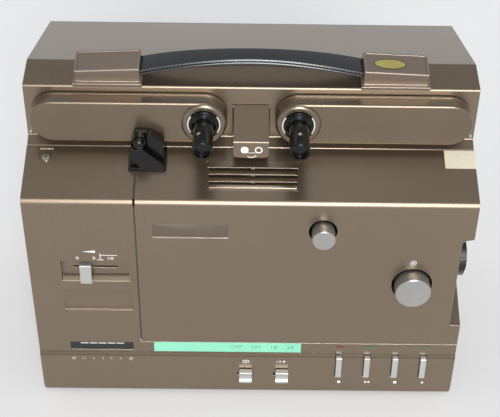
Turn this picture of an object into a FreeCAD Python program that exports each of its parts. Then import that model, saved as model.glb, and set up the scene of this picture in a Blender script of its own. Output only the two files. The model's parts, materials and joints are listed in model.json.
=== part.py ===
"""Super 8 sound film projector, a suitcase-shaped tabletop machine with two folding reel arms.

Axes: X runs along the front, + to the lens; Y runs back; Z runs up. Lengths are millimetres.
Heights are measured from the surface that the feet stand on. Depths are measured from the front
face, and export() moves them by DATUM_Y, so that the origin is under the middle of the machine.
"""
import FreeCAD, Part
import math
import os

V = FreeCAD.Vector

# Case
CASE_W = 290.0
CASE_D = 164.6
WALL = 2.5
FOOT_H = 3.0
FOOT_R = 9.0
FOOT_TAPER = 1.0
FOOT_INSET_X = 25.0
FOOT_INSET_Y = 22.0
STRIP_LEAN = 1.8
STRIP_PROUD = 1.2
STRIP_TOP = 37.0
STRIP_EDGE_DROP = 1.9
STRIP_EDGE_R = 0.5
FRONT_TOP = 167.6
LEDGE_D = 39.3
LEDGE_RISE = 16.1
SHELF_STEP = 1.0
SHELF_TOP = 187.1
SHELF_D = 7.2
UPPER_TOP = 224.0
RIDGE_Y = 69.6
RIDGE_Z = 229.6
BACK_TOP = 207.7
FRONT_EDGE_R = 4.0
LEDGE_EDGE_R = 0.8
SHELF_CORNER_R = 1.0
UPPER_EDGE_R = 1.5
RIDGE_R = 3.0
BACK_EDGE_R = 3.0
BOTTOM_EDGE_R = 1.2
PLAN_CORNER_R = 2.0
FOOT_CORNER_R = 4.0
SEAM_FROM_END = 71.3
SEAM_GAP = 1.3
COVER_BOTTOM = 46.9
FLANGE_RIM = 12.0
PANEL_GAP = 0.3
RUN = 0.05
LOOSE = 0.3
SINK = 0.5

HALF_W = CASE_W / 2.0
INNER_X = HALF_W - WALL
REAR_Y = CASE_D - WALL
FLOOR_TOP = FOOT_H + PANEL_GAP + WALL
SEAM_X = -HALF_W + SEAM_FROM_END
LEDGE_SLOPE = math.atan2(LEDGE_RISE, LEDGE_D)
LEDGE_L = math.hypot(LEDGE_D, LEDGE_RISE)
LEDGE_TOP = FRONT_TOP + LEDGE_RISE
UPPER_Y = LEDGE_D + SHELF_D
TOP_SLOPE = math.atan2(RIDGE_Z - UPPER_TOP, RIDGE_Y - UPPER_Y)

# Mechanism plate, behind the cover and the ledge
PLATE_T = 3.0
PLATE_UNDER_LEDGE = 5.7
PLATE_SIDE_GAP = 0.6
PLATE_BACK_Y = LEDGE_D + PANEL_GAP
PLATE_FRONT_Y = PLATE_BACK_Y - PLATE_T
PLATE_TOP = LEDGE_TOP - PLATE_UNDER_LEDGE

# Reel arms
ARM_TO_UPPER = 1.3
ARM_T = 11.7
ARM_R = 14.7
ARM_Z = 205.1
ARM_FROM_END = 19.0
SPINDLE_X = 30.0
ARM_WALL = 2.0
ARM_BACK_T = 2.0
ARM_EDGE_R = 1.5
WEB_T = 2.6
RING_PROUD = 1.8
RING_INNER_R = 10.6
RING_INSET = 0.3
RING_BEVEL = 1.6
PIVOT_TUBE_R = 8.0
PIVOT_BORE_R = 3.0
BUSH_WALL = 3.0
BUSH_FLANGE = 3.0
BUSH_FLANGE_T = 2.0
BUSH_L = 12.0
CIRCLIP_T = 1.2
CIRCLIP_PROUD = 1.6
CIRCLIP_SEAT = 1.0
CIRCLIP_MOUTH = 6.0
ARM_PIVOT_X = HALF_W - ARM_FROM_END
ARM_BACK_Y = UPPER_Y - ARM_TO_UPPER
ARM_FACE_Y = ARM_BACK_Y - ARM_T

# Spindles
SPINDLE_R = 6.35
SPINDLE_TIP_Y = 1.5
COLLAR_R = 9.7
COLLAR_PROUD = 0.7
COLLAR_FLARE = 1.6
COLLAR_EDGE = 0.6
TIP_CHAMFER = 0.8
TIP_RECESS_R = 5.0
TIP_RECESS_D = 3.5
AXLE_R = 3.5
AXLE_END_GAP = 0.7
AXLE_PULLEY_R = 10.0
AXLE_PULLEY_T = 5.0
AXLE_GROOVE = 1.2
BALL_R = 1.9
BALL_PROUD = 0.18
BALL_Y = 14.0
BALL_CLEAR = 0.15
BALL_ANGLE = {"left": 27.0, "right": 0.0}

# Centre key, with its hinge inside the upper case
KEY_W = 22.5
KEY_PROUD = 22.5
KEY_TOP = 211.5
KEY_NOSE_TOP = 197.5
KEY_NOSE_BOTTOM = 184.4
KEY_NOSE_BOW = 2.2
KEY_NOSE_SIDE_R = 1.5
KEY_NOSE_STEPS = 10
KEY_NOSE_EDGE_R = 1.5
KEY_FOLD_R = 1.0
KEY_TOP_R = 2.0
KEY_BACK_RISE = 5.2
KEY_HINGE_IN = 5.5
KEY_HINGE_Z = 207.0
KEY_HINGE_R = 2.0
KEY_HINGE_BACK = 3.0
KEY_LUG_T = 3.0
KEY_LUG_GAP = 0.4
KEY_CLEAR = 0.6
KEY_TOP_CLEAR = 0.3
KEY_SWING_CLEAR = 1.6
KEY_SKIN = 2.2
KEY_FRONT_Y = UPPER_Y - KEY_PROUD
KEY_HINGE_Y = UPPER_Y + KEY_HINGE_IN

# Film guide on the ledge
GUIDE_PAST_SEAM = 4.3
GUIDE_W = 23.7
GUIDE_EDGE = 0.6
GUIDE_R = 1.5
GUIDE_FROM_STEP = 2.9
GUIDE_DEEP = 14.7
GUIDE_WALL_IN = 4.9
GUIDE_BACK_T = 2.6
GUIDE_BASE_H = 4.5
GUIDE_FOOT_LIP = 2.0
GUIDE_SUNK = 4.0
GUIDE_BAR_PROUD = 1.0
GUIDE_BAR_T = 3.2
GUIDE_BAR_RUN = 11.5
GUIDE_BAR_LOW = 9.5
GUIDE_BAR_HEAD = 10.0
GUIDE_BAR_LEAN = 1.4
GUIDE_BAR_TOP = 16.8
GUIDE_BAR_TAIL = 5.0
GUIDE_CHEEK_IN = 3.0
GUIDE_FIN_IN = 3.6
GUIDE_FIN_W = 10.1
GUIDE_FIN_TOP = 26.0
GUIDE_FIN_END = 19.0
GUIDE_LEG_L = 8.0
ROLLER_IN = 7.5
ROLLER_Z = 198.0
ROLLER_L = 11.1
ROLLER_R = 4.2
ROLLER_NOSE_R = 3.4
ROLLER_NOSE_L = 4.5
ROLLER_GROOVE_R = 3.0
ROLLER_GROOVE_L = 0.6
ROLLER_CAP_T = 1.4
ROLLER_PIN_R = 1.2
ROLLER_WALL_R = 3.6
ROLLER_WALL_UP = 3.2
ROLLER_DOME = 1.2
GUIDE_X0 = SEAM_X - GUIDE_PAST_SEAM
GUIDE_X1 = GUIDE_X0 + GUIDE_W
GUIDE_BASE_Y1 = LEDGE_D - GUIDE_FROM_STEP
GUIDE_Y0 = GUIDE_BASE_Y1 - GUIDE_DEEP
GUIDE_Y1 = GUIDE_BASE_Y1 - GUIDE_WALL_IN
ROLLER_X = GUIDE_X0 + ROLLER_IN
ROLLER_BACK_Y = GUIDE_Y1 - GUIDE_BACK_T - LOOSE
ROLLER_FRONT_Y = ROLLER_BACK_Y - ROLLER_L

# Vent grille in the cover's ledge; S is measured along the slope
VENT_X0 = -28.0
VENT_X1 = 31.0
VENT_S0 = 9.4
VENT_S1 = 30.6
VENT_GAP = 0.15
VENT_SLATS = 4
VENT_SLAT_T = 1.2
VENT_SLAT_RUN = 5.0
VENT_SLAT_DROP = 2.6
VENT_SLAT_LIP = 0.9
VENT_TAIL = 2.5
VENT_BAR_W = 2.0
VENT_DOWN = 0.3
VENT_RIM = 1.2
VENT_FLANGE = 2.0
VENT_FLANGE_T = 1.2
VENT_RIB_X = 1.6
VENT_RIB_W = 3.0
VENT_RIB_DOWN = 2.4

# Volume slider in its hollow, the blank panel under it and the level window
VOLUME_FROM_END = 21.0
VOLUME_W = 45.0
VOLUME_Z0 = 101.7
VOLUME_Z1 = 118.7
VOLUME_D = 4.0
VOLUME_SLOPE = 1.6
VOLUME_SLOT_Z = 111.1
VOLUME_SLOT_H = 1.6
VOLUME_SLOT_END = 8.0
SLIDER_IN = 16.4
SLIDER_W = 7.5
SLIDER_H = 15.4
SLIDER_PROUD = 2.5
SLIDER_SKIN = 2.0
SLIDER_R = 0.6
SLIDER_STEM_W = 3.0
SLIDER_FIT = 0.2
BLANK_W = 45.6
BLANK_SPREAD = 0.2
BLANK_Z0 = 75.9
BLANK_Z1 = 92.8
BLANK_D = 1.2
LEVEL_INSET = 0.7
LEVEL_W = 43.9
LEVEL_Z0 = 39.3
LEVEL_Z1 = 46.4
LEVEL_D = 1.2
LEVEL_SUNK = 0.1
CARRIAGE_W = 8.0
CARRIAGE_T = 2.7
VOLUME_X0 = -HALF_W + VOLUME_FROM_END
VOLUME_X1 = VOLUME_X0 + VOLUME_W
VOLUME_SLOT_X0 = VOLUME_X0 + VOLUME_SLOT_END
VOLUME_SLOT_X1 = VOLUME_X1 - VOLUME_SLOT_END
SLIDER_X = VOLUME_X0 + SLIDER_IN
BLANK_X0 = VOLUME_X0 - BLANK_SPREAD
LEVEL_X0 = VOLUME_X0 + LEVEL_INSET
LEVEL_X1 = LEVEL_X0 + LEVEL_W

# Badge recess and screws
BADGE_FROM_SEAM = 10.9
BADGE_W = 48.6
BADGE_Z0 = 139.2
BADGE_Z1 = 150.8
BADGE_D = 0.7
SCREW_R = 3.2
SCREW_HEAD_H = 1.0
SCREW_SHANK_R = 1.5
SCREW_BITE = 3.0
LEDGE_SCREW_FROM_END = 13.3
LEDGE_SCREW_FROM_STEP = 10.3
LEDGE_SCREW_R = 2.5
LEDGE_POCKET_W = 9.0
LEDGE_POCKET_L = 7.5
LEDGE_POCKET_D = 0.8
REAR_SCREW_INSET = 12.0
REAR_SCREW_LOW = 13.0
SMALL_SCREW_R = 1.0
SMALL_SCREW_H = 0.8
SMALL_SCREW_INSET = 2.2
SMALL_SCREW_RISE = 2.6
BADGE_X0 = SEAM_X + BADGE_FROM_SEAM
LEDGE_SCREW_X = -HALF_W + LEDGE_SCREW_FROM_END
LEDGE_SCREW_S = LEDGE_L - LEDGE_SCREW_FROM_STEP

# Lens, on the optical axis, with its hollow in the right-hand end of the cover
LENS_Z = 110.3
LENS_R = 11.0
LENS_TUBE_T = 4.0
ZOOM_R = 14.2
ZOOM_L = 16.7
ZOOM_TO_PLATE = 0.4
ZOOM_SEAT = 1.5
ZOOM_RIBS = 30
ZOOM_RIB_H = 0.7
BARREL_L = 60.9
BARREL_END_GAP = 0.1
BARREL_LIP = 0.6
BARREL_LIP_L = 1.2
BARREL_MOUTH = 1.2
BARREL_MOUTH_L = 1.8
GLASS_R = 8.6
GLASS_IN = 5.0
GLASS_T = 2.8
GLASS_FIT = 0.1
HOLDER_FROM_END = 57.0
HOLDER_L = 25.0
HOLDER_R = 13.4
HOLDER_FOOT_H = 24.0
HOLDER_FLANGE_T = 2.0
HOLDER_FLANGE_GAP = 0.7
BOSS_WALL = 3.0
BOSS_L = 6.0
FOCUS_BEARING = 3.6
NOTCH_W = 7.4
NOTCH_Z0 = 65.0
NOTCH_Z1 = 140.0
NOTCH_R = 3.5
NOTCH_FOOT_R = 1.0
NOTCH_BRIM = 1.5
SCOOP_RISE = 15.0
SCOOP_D = 32.0
SCOOP_T = 2.0
SCOOP_FROM_END = 27.0
LENS_Y = PLATE_FRONT_Y - ZOOM_TO_PLATE - ZOOM_R
BARREL_X1 = HALF_W - BARREL_END_GAP
BARREL_X0 = BARREL_X1 - BARREL_L
ZOOM_X1 = BARREL_X1 - BARREL_LIP_L
ZOOM_X0 = ZOOM_X1 - ZOOM_L
HOLDER_X0 = HALF_W - HOLDER_FROM_END
HOLDER_X1 = HOLDER_X0 + HOLDER_L
NOTCH_X = HALF_W - NOTCH_W
SCOOP_X0 = HALF_W - SCOOP_FROM_END

# Knobs and the focus drive
KNOB_CLEAR = 1.7
KNOB_BACK_Y = 1.0
KNOB_EDGE = 0.6
KNOB_SHAFT_R = 3.0
FRAME_KNOB_TO_GATE = 24.0
FRAME_KNOB_Z = 145.4
FRAME_KNOB_R = 7.5
FRAME_KNOB_PROUD = 10.0
FRAME_SHAFT_END = 2.0
FOCUS_KNOB_FROM_END = 36.9
FOCUS_KNOB_Z = 101.5
FOCUS_KNOB_R = 11.8
FOCUS_KNOB_PROUD = 9.5
PINION_TEETH = 12
PINION_R = 5.0
PINION_GAP = 1.1
PINION_W = 3.8
PINION_CLEAR = 2.0
TOOTH_OUT = 0.7
TOOTH_IN = 1.0
TOOTH_ROOT_HALF = 0.42
TOOTH_TIP_HALF = 0.15
RACK_BEHIND = 11.1
RACK_L = 25.0
RACK_T = 2.4
RACK_IN = 0.9
RACK_ROOT_HALF = 0.3
RACK_TIP_HALF = 0.1
RACK_END_FIRST = 1.0
RACK_END_LAST = 4.0
RACK_LUG_IN = 3.5
RACK_LUG_W = 3.0
RACK_LUG_H = 4.4
RACK_SLOT_UP = 2.0
RACK_SLOT_H = 12.0
FOCUS_KNOB_X = HALF_W - FOCUS_KNOB_FROM_END
PINION_Y0 = WALL + PINION_GAP
PINION_Y1 = PINION_Y0 + PINION_W
RACK_X0 = FOCUS_KNOB_X - RACK_BEHIND
RACK_X1 = RACK_X0 + RACK_L
RACK_LUG_X0 = RACK_X1 - RACK_LUG_IN

# Transport keys and slide switches on the control strip
KEYS_FROM_END = 81.3
KEYS_PITCH = 19.65
KEYS_W = 3.9
KEYS_TOP = 36.4
KEYS_BOTTOM = 18.4
KEYS_PROUD = 2.6
KEYS_CLEAR = 0.4
KEYS_DROP = 0.9
KEYS_R = 0.6
KEYS_TAIL_T = 1.0
KEYS_PIVOT_Y = 5.2
KEYS_PIVOT_Z = 32.6
KEYS_SHAFT_R = 1.5
KEYS_SHAFT_REACH = 12.0
KEYS_SHAFT_END = 3.0
KEYS_HUB_R = 3.2
KEYS_LUG_T = 2.0
KEYS_LUG_FRONT = 2.0
KEYS_LUG_DOWN = 6.0
KEYS_LUG_UP = 4.0
SPRING_L = 6.0
SPRING_T = 0.9
SPRING_FIT = 0.2
KEY_NAMES = ("record_key", "reverse_key", "stop_key", "projection_key")
SWITCH_TO_KEYS = (65.2, 39.7)
SWITCH_Z = 18.9
SWITCH_W = 8.8
SWITCH_H = 10.0
SWITCH_PROUD = 4.0
SWITCH_STEM_W = 2.5
SWITCH_STEM_H = 1.8
SWITCH_TRAVEL = 4.5
SWITCH_DISH = 1.0
SWITCH_DISH_SHARE = 0.72
SWITCH_R = 0.6
KEYS_X0 = HALF_W - KEYS_FROM_END
SWITCH_X = [KEYS_X0 - run for run in SWITCH_TO_KEYS]

# Film path on the mechanism plate
FILM_W = 8.0
SPROCKET_R = 9.0
SPROCKET_TEETH = 12
SPROCKET_NOSE = 2.0
SPROCKET_FLANGE = 2.5
SPROCKET_FLANGE_T = 1.2
TOOTH_H = 1.1
TOOTH_W = 1.0
FEED_TO_GATE = 7.0
FEED_Z = 155.0
TAKEUP_TO_FEED = 104.0
TAKEUP_Z = 66.0
FLY_Z = 62.0
FLY_R = 25.0
FLY_HALF_T = 4.0
CAPSTAN_R = 2.5
CAPSTAN_FRONT = 7.0
CAPSTAN_BACK = 6.0
PINCH_R = 7.0
PINCH_HALF_L = 5.0
PINCH_EDGE = 0.5
PINCH_ANGLE = 200.0
PINCH_GAP = 0.35
PINCH_COLLAR = 2.0
PATH_SHAFT_R = 3.0
PULLEY_R = 8.0
PULLEY_RIM = 0.8
BELT_T = 1.6
BELT_W = 3.0
BELT_SHARE = 0.7
BELT_A_BEHIND = 12.4
BELT_B_BEHIND = 20.4
BELT_C_BEHIND = 26.4
HEAD_TO_CAPSTAN = 14.0
HEAD_W = 9.0
HEAD_H = 12.0
HEAD_R = 2.5
HEAD_FRONT = 5.0
HEAD_BASE_Y = 7.0
HEAD_BASE_IN = 5.0
HEAD_BASE_H = 20.0
CHANNEL_GAP = 0.4
CHANNEL_WALL = 1.0
CHANNEL_FLOOR = 1.2
CHANNEL_H = 5.0
CHANNEL_OVER_LAMP = 5.0
CHANNEL_TO_GUIDE = 1.0
CHANNEL_TO_DRUM = 3.0
CHANNEL_LUG_W = 6.0
CHANNEL_LUG_H = 4.0
GATE_TO_BARREL = 13.0
GATE_Z0 = 88.0
GATE_Z1 = 131.0
GATE_T = 2.0
GATE_HALF_GAP = 0.6
GATE_SIDE = 3.0
RAIL_FIT = 0.2
GATE_FRONT = 6.0
GATE_SHORT = 4.0
APERTURE_W = 6.0
APERTURE_H = 4.4
FILM_Y = LENS_Y
GATE_X = BARREL_X0 - GATE_TO_BARREL
FRAME_KNOB_X = GATE_X - FRAME_KNOB_TO_GATE
FEED_X = GATE_X - FEED_TO_GATE
FLY_X = FEED_X
TAKEUP_X = FEED_X - TAKEUP_TO_FEED
BELT_A_Y = PLATE_BACK_Y + BELT_A_BEHIND
BELT_B_Y = PLATE_BACK_Y + BELT_B_BEHIND
BELT_C_Y = PLATE_BACK_Y + BELT_C_BEHIND

# Lamp house
LAMP_TO_GATE = 69.0
LAMP_BOX_HALF_W = 28.0
LAMP_BOX_Z0 = 82.0
LAMP_BOX_Z1 = 158.0
LAMP_BOX_GAP = 1.7
LAMP_BOX_T = 1.2
LAMP_PORT_R = 9.0
LAMP_WINDOW_RIM = 4.0
LAMP_WINDOW_HALF_H = 23.0
LOUVRES = 5
LOUVRE_W = 4.0
LOUVRE_PITCH = 9.5
LOUVRE_END = 7.0
LOUVRE_SIDE = 5.0
CRADLE_X = 8.0
CRADLE_HALF_H = 24.0
CRADLE_LIP = 3.0
LAMP_GAP = 0.8
LAMP_INSET = 1.0
LAMP_L = 26.0
LAMP_BOWL_L = 17.0
LAMP_BACK_L = 18.0
LAMP_BELLY_L = 10.0
LAMP_BELLY = 4.0
LAMP_THROAT_R = 4.0
LAMP_NECK_R = 3.0
LAMP_BULB_R = 3.0
LAMP_BULB_L = 2.0
LAMP_GLASS_T = 1.8
LAMP_X = GATE_X - LAMP_TO_GATE
LAMP_BOX_X0 = LAMP_X - LAMP_BOX_HALF_W
LAMP_BOX_X1 = LAMP_X + LAMP_BOX_HALF_W
LAMP_BOX_Y0 = WALL + LAMP_BOX_GAP
LAMP_REFLECTOR_R = LENS_Y - LAMP_BOX_Y0 - LAMP_GAP

# Drive and electrics behind the plate
MOTOR_PAST_SEAM = 13.7
MOTOR_Z = 112.0
MOTOR_R = 27.0
MOTOR_L = 52.0
MOTOR_TO_BACK = 18.1
MOTOR_FLANGE_R = 45.0
MOTOR_FLANGE_T = 2.0
MOTOR_POST_R = 3.0
MOTOR_POST_CIRCLE = 40.0
MOTOR_POST_ANGLES = (90, 210, 330)
MOTOR_BORE_L = 12.0
MOTOR_SHAFT_IN = 11.0
MOTOR_PULLEY_NOSE = 2.8
FAN_R = 32.0
FAN_L = 13.0
FAN_TO_MOTOR = 5.0
FAN_HUB_R = 9.0
FAN_DISC_T = 1.5
FAN_BLADES = 10
FAN_BLADE_T = 1.2
TRANSFORMER_W = 60.0
TRANSFORMER_L = 70.0
TRANSFORMER_H = 50.0
TRANSFORMER_FROM_END = 53.0
TRANSFORMER_TO_BACK = 15.1
BOBBIN_OUT = 16.0
BOBBIN_SIDE = 12.0
BOBBIN_DOWN = 9.0
BOBBIN_R = 6.0
BOARD_FROM_END = 13.0
BOARD_W = 92.0
BOARD_L = 88.0
BOARD_TO_BACK = 12.1
BOARD_RISE = 7.2
BOARD_T = 1.6
SPACER_R = 2.5
SPACER_INSET = 6.0
HEATSINK_X = 12.0
HEATSINK_Y = 14.0
HEATSINK_L = 36.0
HEATSINK_H = 18.0
HEATSINK_FINS = 6
HEATSINK_PITCH = 5.0
HEATSINK_FIN_T = 1.5
CAPACITOR_R = 7.0
CAPACITOR_H = 22.0
CAPACITOR_INSET = 22.0
CAPACITOR_PITCH = 18.0
SPEAKER_FROM_END = 61.0
SPEAKER_Z = 124.0
SPEAKER_R = 38.0
SPEAKER_RIM = 5.0
SPEAKER_CONE_D = 5.0
SPEAKER_CONE_R = 10.0
SPEAKER_SHEET = 1.0
SPEAKER_FRAME_D = 1.5
SPEAKER_BASKET_D = 8.0
SPEAKER_MAGNET_R = 14.0
SPEAKER_MAGNET_D = 14.0
SPEAKER_SLOT_RIM = 6.0
INLET_FROM_END = 33.0
INLET_Z = 34.0
INLET_W = 22.0
INLET_H = 15.0
INLET_L = 13.0
INLET_D = 11.0
INLET_WALL = 2.0
INLET_CORNER_R = 3.0
INLET_FLANGE_X = 3.0
INLET_FLANGE_Z = 2.0
INLET_PIN_R = 1.5
INLET_PIN_L = 9.5
INLET_PIN_DOWN = 2.0
INLET_PIN_HALF = 4.5
SOCKET_FROM_END = 25.0
SOCKET_PITCH = 24.0
SOCKET_COUNT = 3
SOCKET_R = 8.0
SOCKET_Z = 34.0
SOCKET_PROUD = 1.0
SOCKET_L = 12.0
SOCKET_D = 6.0
SOCKET_WALL = 1.4
SOCKET_FLANGE = 1.6
SOCKET_TAPER = 0.4
REAR_SLOTS = 9
REAR_SLOT_W = 3.2
REAR_SLOT_L = 52.0
REAR_SLOT_PITCH = 8.0
REAR_SLOT_TO_INLET = 78.0
REAR_SLOT_Z0 = 70.0
SPEAKER_SLOTS = 7
MOTOR_X = SEAM_X + MOTOR_PAST_SEAM
MOTOR_Y1 = REAR_Y - MOTOR_TO_BACK
MOTOR_Y0 = MOTOR_Y1 - MOTOR_L
FAN_Y1 = MOTOR_Y0 - FAN_TO_MOTOR
FAN_Y0 = FAN_Y1 - FAN_L
TRANSFORMER_X1 = HALF_W + TRANSFORMER_W / 2 - TRANSFORMER_FROM_END
TRANSFORMER_Y1 = REAR_Y - TRANSFORMER_TO_BACK
BOARD_X0 = -HALF_W + BOARD_FROM_END
BOARD_X1 = BOARD_X0 + BOARD_W
BOARD_Y1 = REAR_Y - BOARD_TO_BACK
BOARD_Y0 = BOARD_Y1 - BOARD_L
BOARD_Z = FLOOR_TOP + BOARD_RISE
SPEAKER_X = -HALF_W + SPEAKER_FROM_END
INLET_X = HALF_W - INLET_FROM_END
SOCKET_X0 = -HALF_W + SOCKET_FROM_END
REAR_SLOT_X = INLET_X - REAR_SLOT_TO_INLET

# Carrying handle; S is measured along the top strip's slope, H square to it
MOUNT_FROM_END = 33.1
MOUNT_L = 41.4
MOUNT_S0 = 2.1
MOUNT_S1 = 20.9
MOUNT_OUTER_H = 10.5
MOUNT_INNER_H = 12.7
MOUNT_EDGE_R = 0.8
MOUNT_SPREAD = 1.07
MOUNT_BASE_FRONT = 0.55
MOUNT_BASE_H = 2.0
MOUNT_LIP_DOWN = 1.7
MOUNT_LIP_GAP = 0.05
MOUNT_RIM = 1.6
MOUNT_RIM_H = 0.6
CAP_T = 1.2
CAP_GAP = 0.15
STRAP_IN = 2.3
STRAP_S0 = 4.5
STRAP_S1 = 18.8
STRAP_T = 4.4
STRAP_RISE = 9.5
STRAP_END_H = 4.2
STRAP_EDGE = 0.2
STRAP_CLEAR = 0.4
STRAP_ENTRY = 1.4
MOUNT_X1 = HALF_W - MOUNT_FROM_END
MOUNT_X0 = MOUNT_X1 - MOUNT_L
STRAP_END_X = MOUNT_X0 + STRAP_IN

DATUM_Y = -(CASE_D + SOCKET_PROUD - FRAME_KNOB_PROUD) / 2.0


def box(x0, y0, z0, x1, y1, z1):
    return Part.makeBox(x1 - x0, y1 - y0, z1 - z0, V(x0, y0, z0))


def cyl_x(y, z, r, x0, x1):
    return Part.makeCylinder(r, x1 - x0, V(x0, y, z), V(1, 0, 0))


def cyl_y(x, z, r, y0, y1):
    return Part.makeCylinder(r, y1 - y0, V(x, y0, z), V(0, 1, 0))


def cyl_z(x, y, r, z0, z1):
    return Part.makeCylinder(r, z1 - z0, V(x, y, z0), V(0, 0, 1))


def rounded_wire(corners, to_vector):
    """Closed outline through corners (a, b, radius), each rounded by its own radius."""
    edges = []
    marks = []
    count = len(corners)
    for i, (a, b, r) in enumerate(corners):
        here = V(a, b, 0)
        before = V(corners[i - 1][0], corners[i - 1][1], 0)
        after = V(corners[(i + 1) % count][0], corners[(i + 1) % count][1], 0)
        back = (before - here).normalize()
        ahead = (after - here).normalize()
        if r <= 0:
            marks.append((here, here, here))
            continue
        half = back.getAngle(ahead) / 2.0
        reach = r / math.tan(half)
        middle = here + (back + ahead).normalize() * (r / math.sin(half) - r)
        marks.append((here + back * reach, middle, here + ahead * reach))
    for i, (start, middle, end) in enumerate(marks):
        if (end - start).Length > 1e-6:
            edges.append(Part.Arc(to_vector(start), to_vector(middle), to_vector(end)).toShape())
        following = marks[(i + 1) % count][0]
        if (following - end).Length > 1e-6:
            edges.append(Part.LineSegment(to_vector(end), to_vector(following)).toShape())
    return Part.Wire(edges)


def prism_x(corners, x0, x1, offset=0.0):
    """Outline of (y, z, radius) corners, grown by offset, carried from x0 to x1."""
    wire = rounded_wire(corners, lambda p: V(x0, p.x, p.y))
    if offset:
        wire = wire.makeOffset2D(offset)
    return Part.Face(wire).extrude(V(x1 - x0, 0, 0))


def prism_y(corners, y0, y1):
    """Outline of (x, z, radius) corners carried from y0 to y1."""
    wire = rounded_wire(corners, lambda p: V(p.x, y0, p.y))
    return Part.Face(wire).extrude(V(0, y1 - y0, 0))


def prism_z(corners, z0, z1):
    """Outline of (x, y, radius) corners carried from z0 to z1."""
    wire = rounded_wire(corners, lambda p: V(p.x, p.y, z0))
    return Part.Face(wire).extrude(V(0, 0, z1 - z0))


def turned_y(x, z, profile):
    """Solid turned about a line along Y: profile is a closed list of (radius, y)."""
    points = [V(x + r, y, z) for r, y in profile]
    face = Part.Face(Part.makePolygon(points + points[:1]))
    return face.revolve(V(x, 0, z), V(0, 1, 0), 360)


def turned_x(y, z, profile):
    """Solid turned about a line along X: profile is a closed list of (x, radius)."""
    points = [V(x, y + r, z) for x, r in profile]
    face = Part.Face(Part.makePolygon(points + points[:1]))
    return face.revolve(V(0, y, z), V(1, 0, 0), 360)


def fuse(shapes):
    return shapes[0].multiFuse(shapes[1:]).removeSplitter()


def rounded(shape, radius, wanted):
    """Round the edges whose middle point passes the test wanted(x, y, z)."""
    edges = []
    for edge in shape.Edges:
        middle = edge.valueAt((edge.FirstParameter + edge.LastParameter) / 2.0)
        if wanted(middle.x, middle.y, middle.z):
            edges.append(edge)
    return shape.makeFillet(radius, edges)


def near(a, b):
    return abs(a - b) < 1e-3


def export(node, shape):
    """Write one node, moved to the datum under the middle of the machine."""
    solids = [solid.copy() for solid in shape.Solids]
    for solid in solids:
        solid.translate(V(0, DATUM_Y, 0))
    out = solids[0] if len(solids) == 1 else Part.makeCompound(solids)
    out.exportStep("parts/" + node + ".step")


# Case envelope


def strip_y(z):
    """Depth of the control strip's leaning face at a height z."""
    edge_z = STRIP_TOP - STRIP_EDGE_DROP
    return -STRIP_PROUD - STRIP_LEAN * (edge_z - z) / (edge_z - FOOT_H)


def case_corners(bottom=FOOT_H, back=CASE_D, steps=True):
    """Side outline of the closed case, from the foot of the control strip round to the back."""
    fall = (RIDGE_Z - BACK_TOP) * (back - RIDGE_Y) / (CASE_D - RIDGE_Y)
    corners = [
        (strip_y(bottom), bottom, BOTTOM_EDGE_R),
        (-STRIP_PROUD, STRIP_TOP - STRIP_EDGE_DROP, STRIP_EDGE_R if steps else 0),
        (0, STRIP_TOP, 0),
        (0, FRONT_TOP, FRONT_EDGE_R),
        (LEDGE_D, LEDGE_TOP, LEDGE_EDGE_R if steps else 0),
        (LEDGE_D + PANEL_GAP, LEDGE_TOP - SHELF_STEP, 0),
        (UPPER_Y, SHELF_TOP, SHELF_CORNER_R if steps else 0),
        (UPPER_Y, UPPER_TOP, UPPER_EDGE_R),
        (RIDGE_Y, RIDGE_Z, RIDGE_R),
        (back, RIDGE_Z - fall, BACK_EDGE_R),
        (back, bottom, BOTTOM_EDGE_R),
    ]
    if not steps:
        corners = corners[:5] + corners[6:]
    return corners


def case_solid():
    """Outer form: side outline, rounded in plan and at the two bottom corners."""
    side = prism_x(case_corners(), -HALF_W, HALF_W)
    front = strip_y(FOOT_H)
    plan = prism_z([
        (-HALF_W, front, PLAN_CORNER_R),
        (HALF_W, front, PLAN_CORNER_R),
        (HALF_W, CASE_D, PLAN_CORNER_R),
        (-HALF_W, CASE_D, PLAN_CORNER_R),
    ], FOOT_H, RIDGE_Z)
    face = prism_y([
        (-HALF_W, FOOT_H, FOOT_CORNER_R),
        (HALF_W, FOOT_H, FOOT_CORNER_R),
        (HALF_W, RIDGE_Z, 0),
        (-HALF_W, RIDGE_Z, 0),
    ], front, CASE_D)
    return side.common(plan).common(face)


def hollow():
    """Inside of the case, one wall in from the outline, running out through floor and back."""
    beyond = 4 * WALL
    corners = case_corners(FOOT_H - beyond, CASE_D + beyond, False)
    return prism_x(corners, -INNER_X, INNER_X, -WALL)


def ledge_z(y):
    """Height of the ledge's upper face at a depth y."""
    return FRONT_TOP + y * math.tan(LEDGE_SLOPE)


def on_ledge(shape):
    """Tip a shape drawn flat at y, z = 0 so that it lies along the ledge."""
    shape.rotate(V(0, 0, 0), V(1, 0, 0), math.degrees(LEDGE_SLOPE))
    shape.translate(V(0, 0, FRONT_TOP))
    return shape


def on_top(shape):
    """Tip a shape drawn flat at y, z = 0 so that it lies along the strip under the handle."""
    shape.rotate(V(0, 0, 0), V(1, 0, 0), math.degrees(TOP_SLOPE))
    shape.translate(V(0, UPPER_Y, UPPER_TOP))
    return shape


# Fixed case parts


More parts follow.
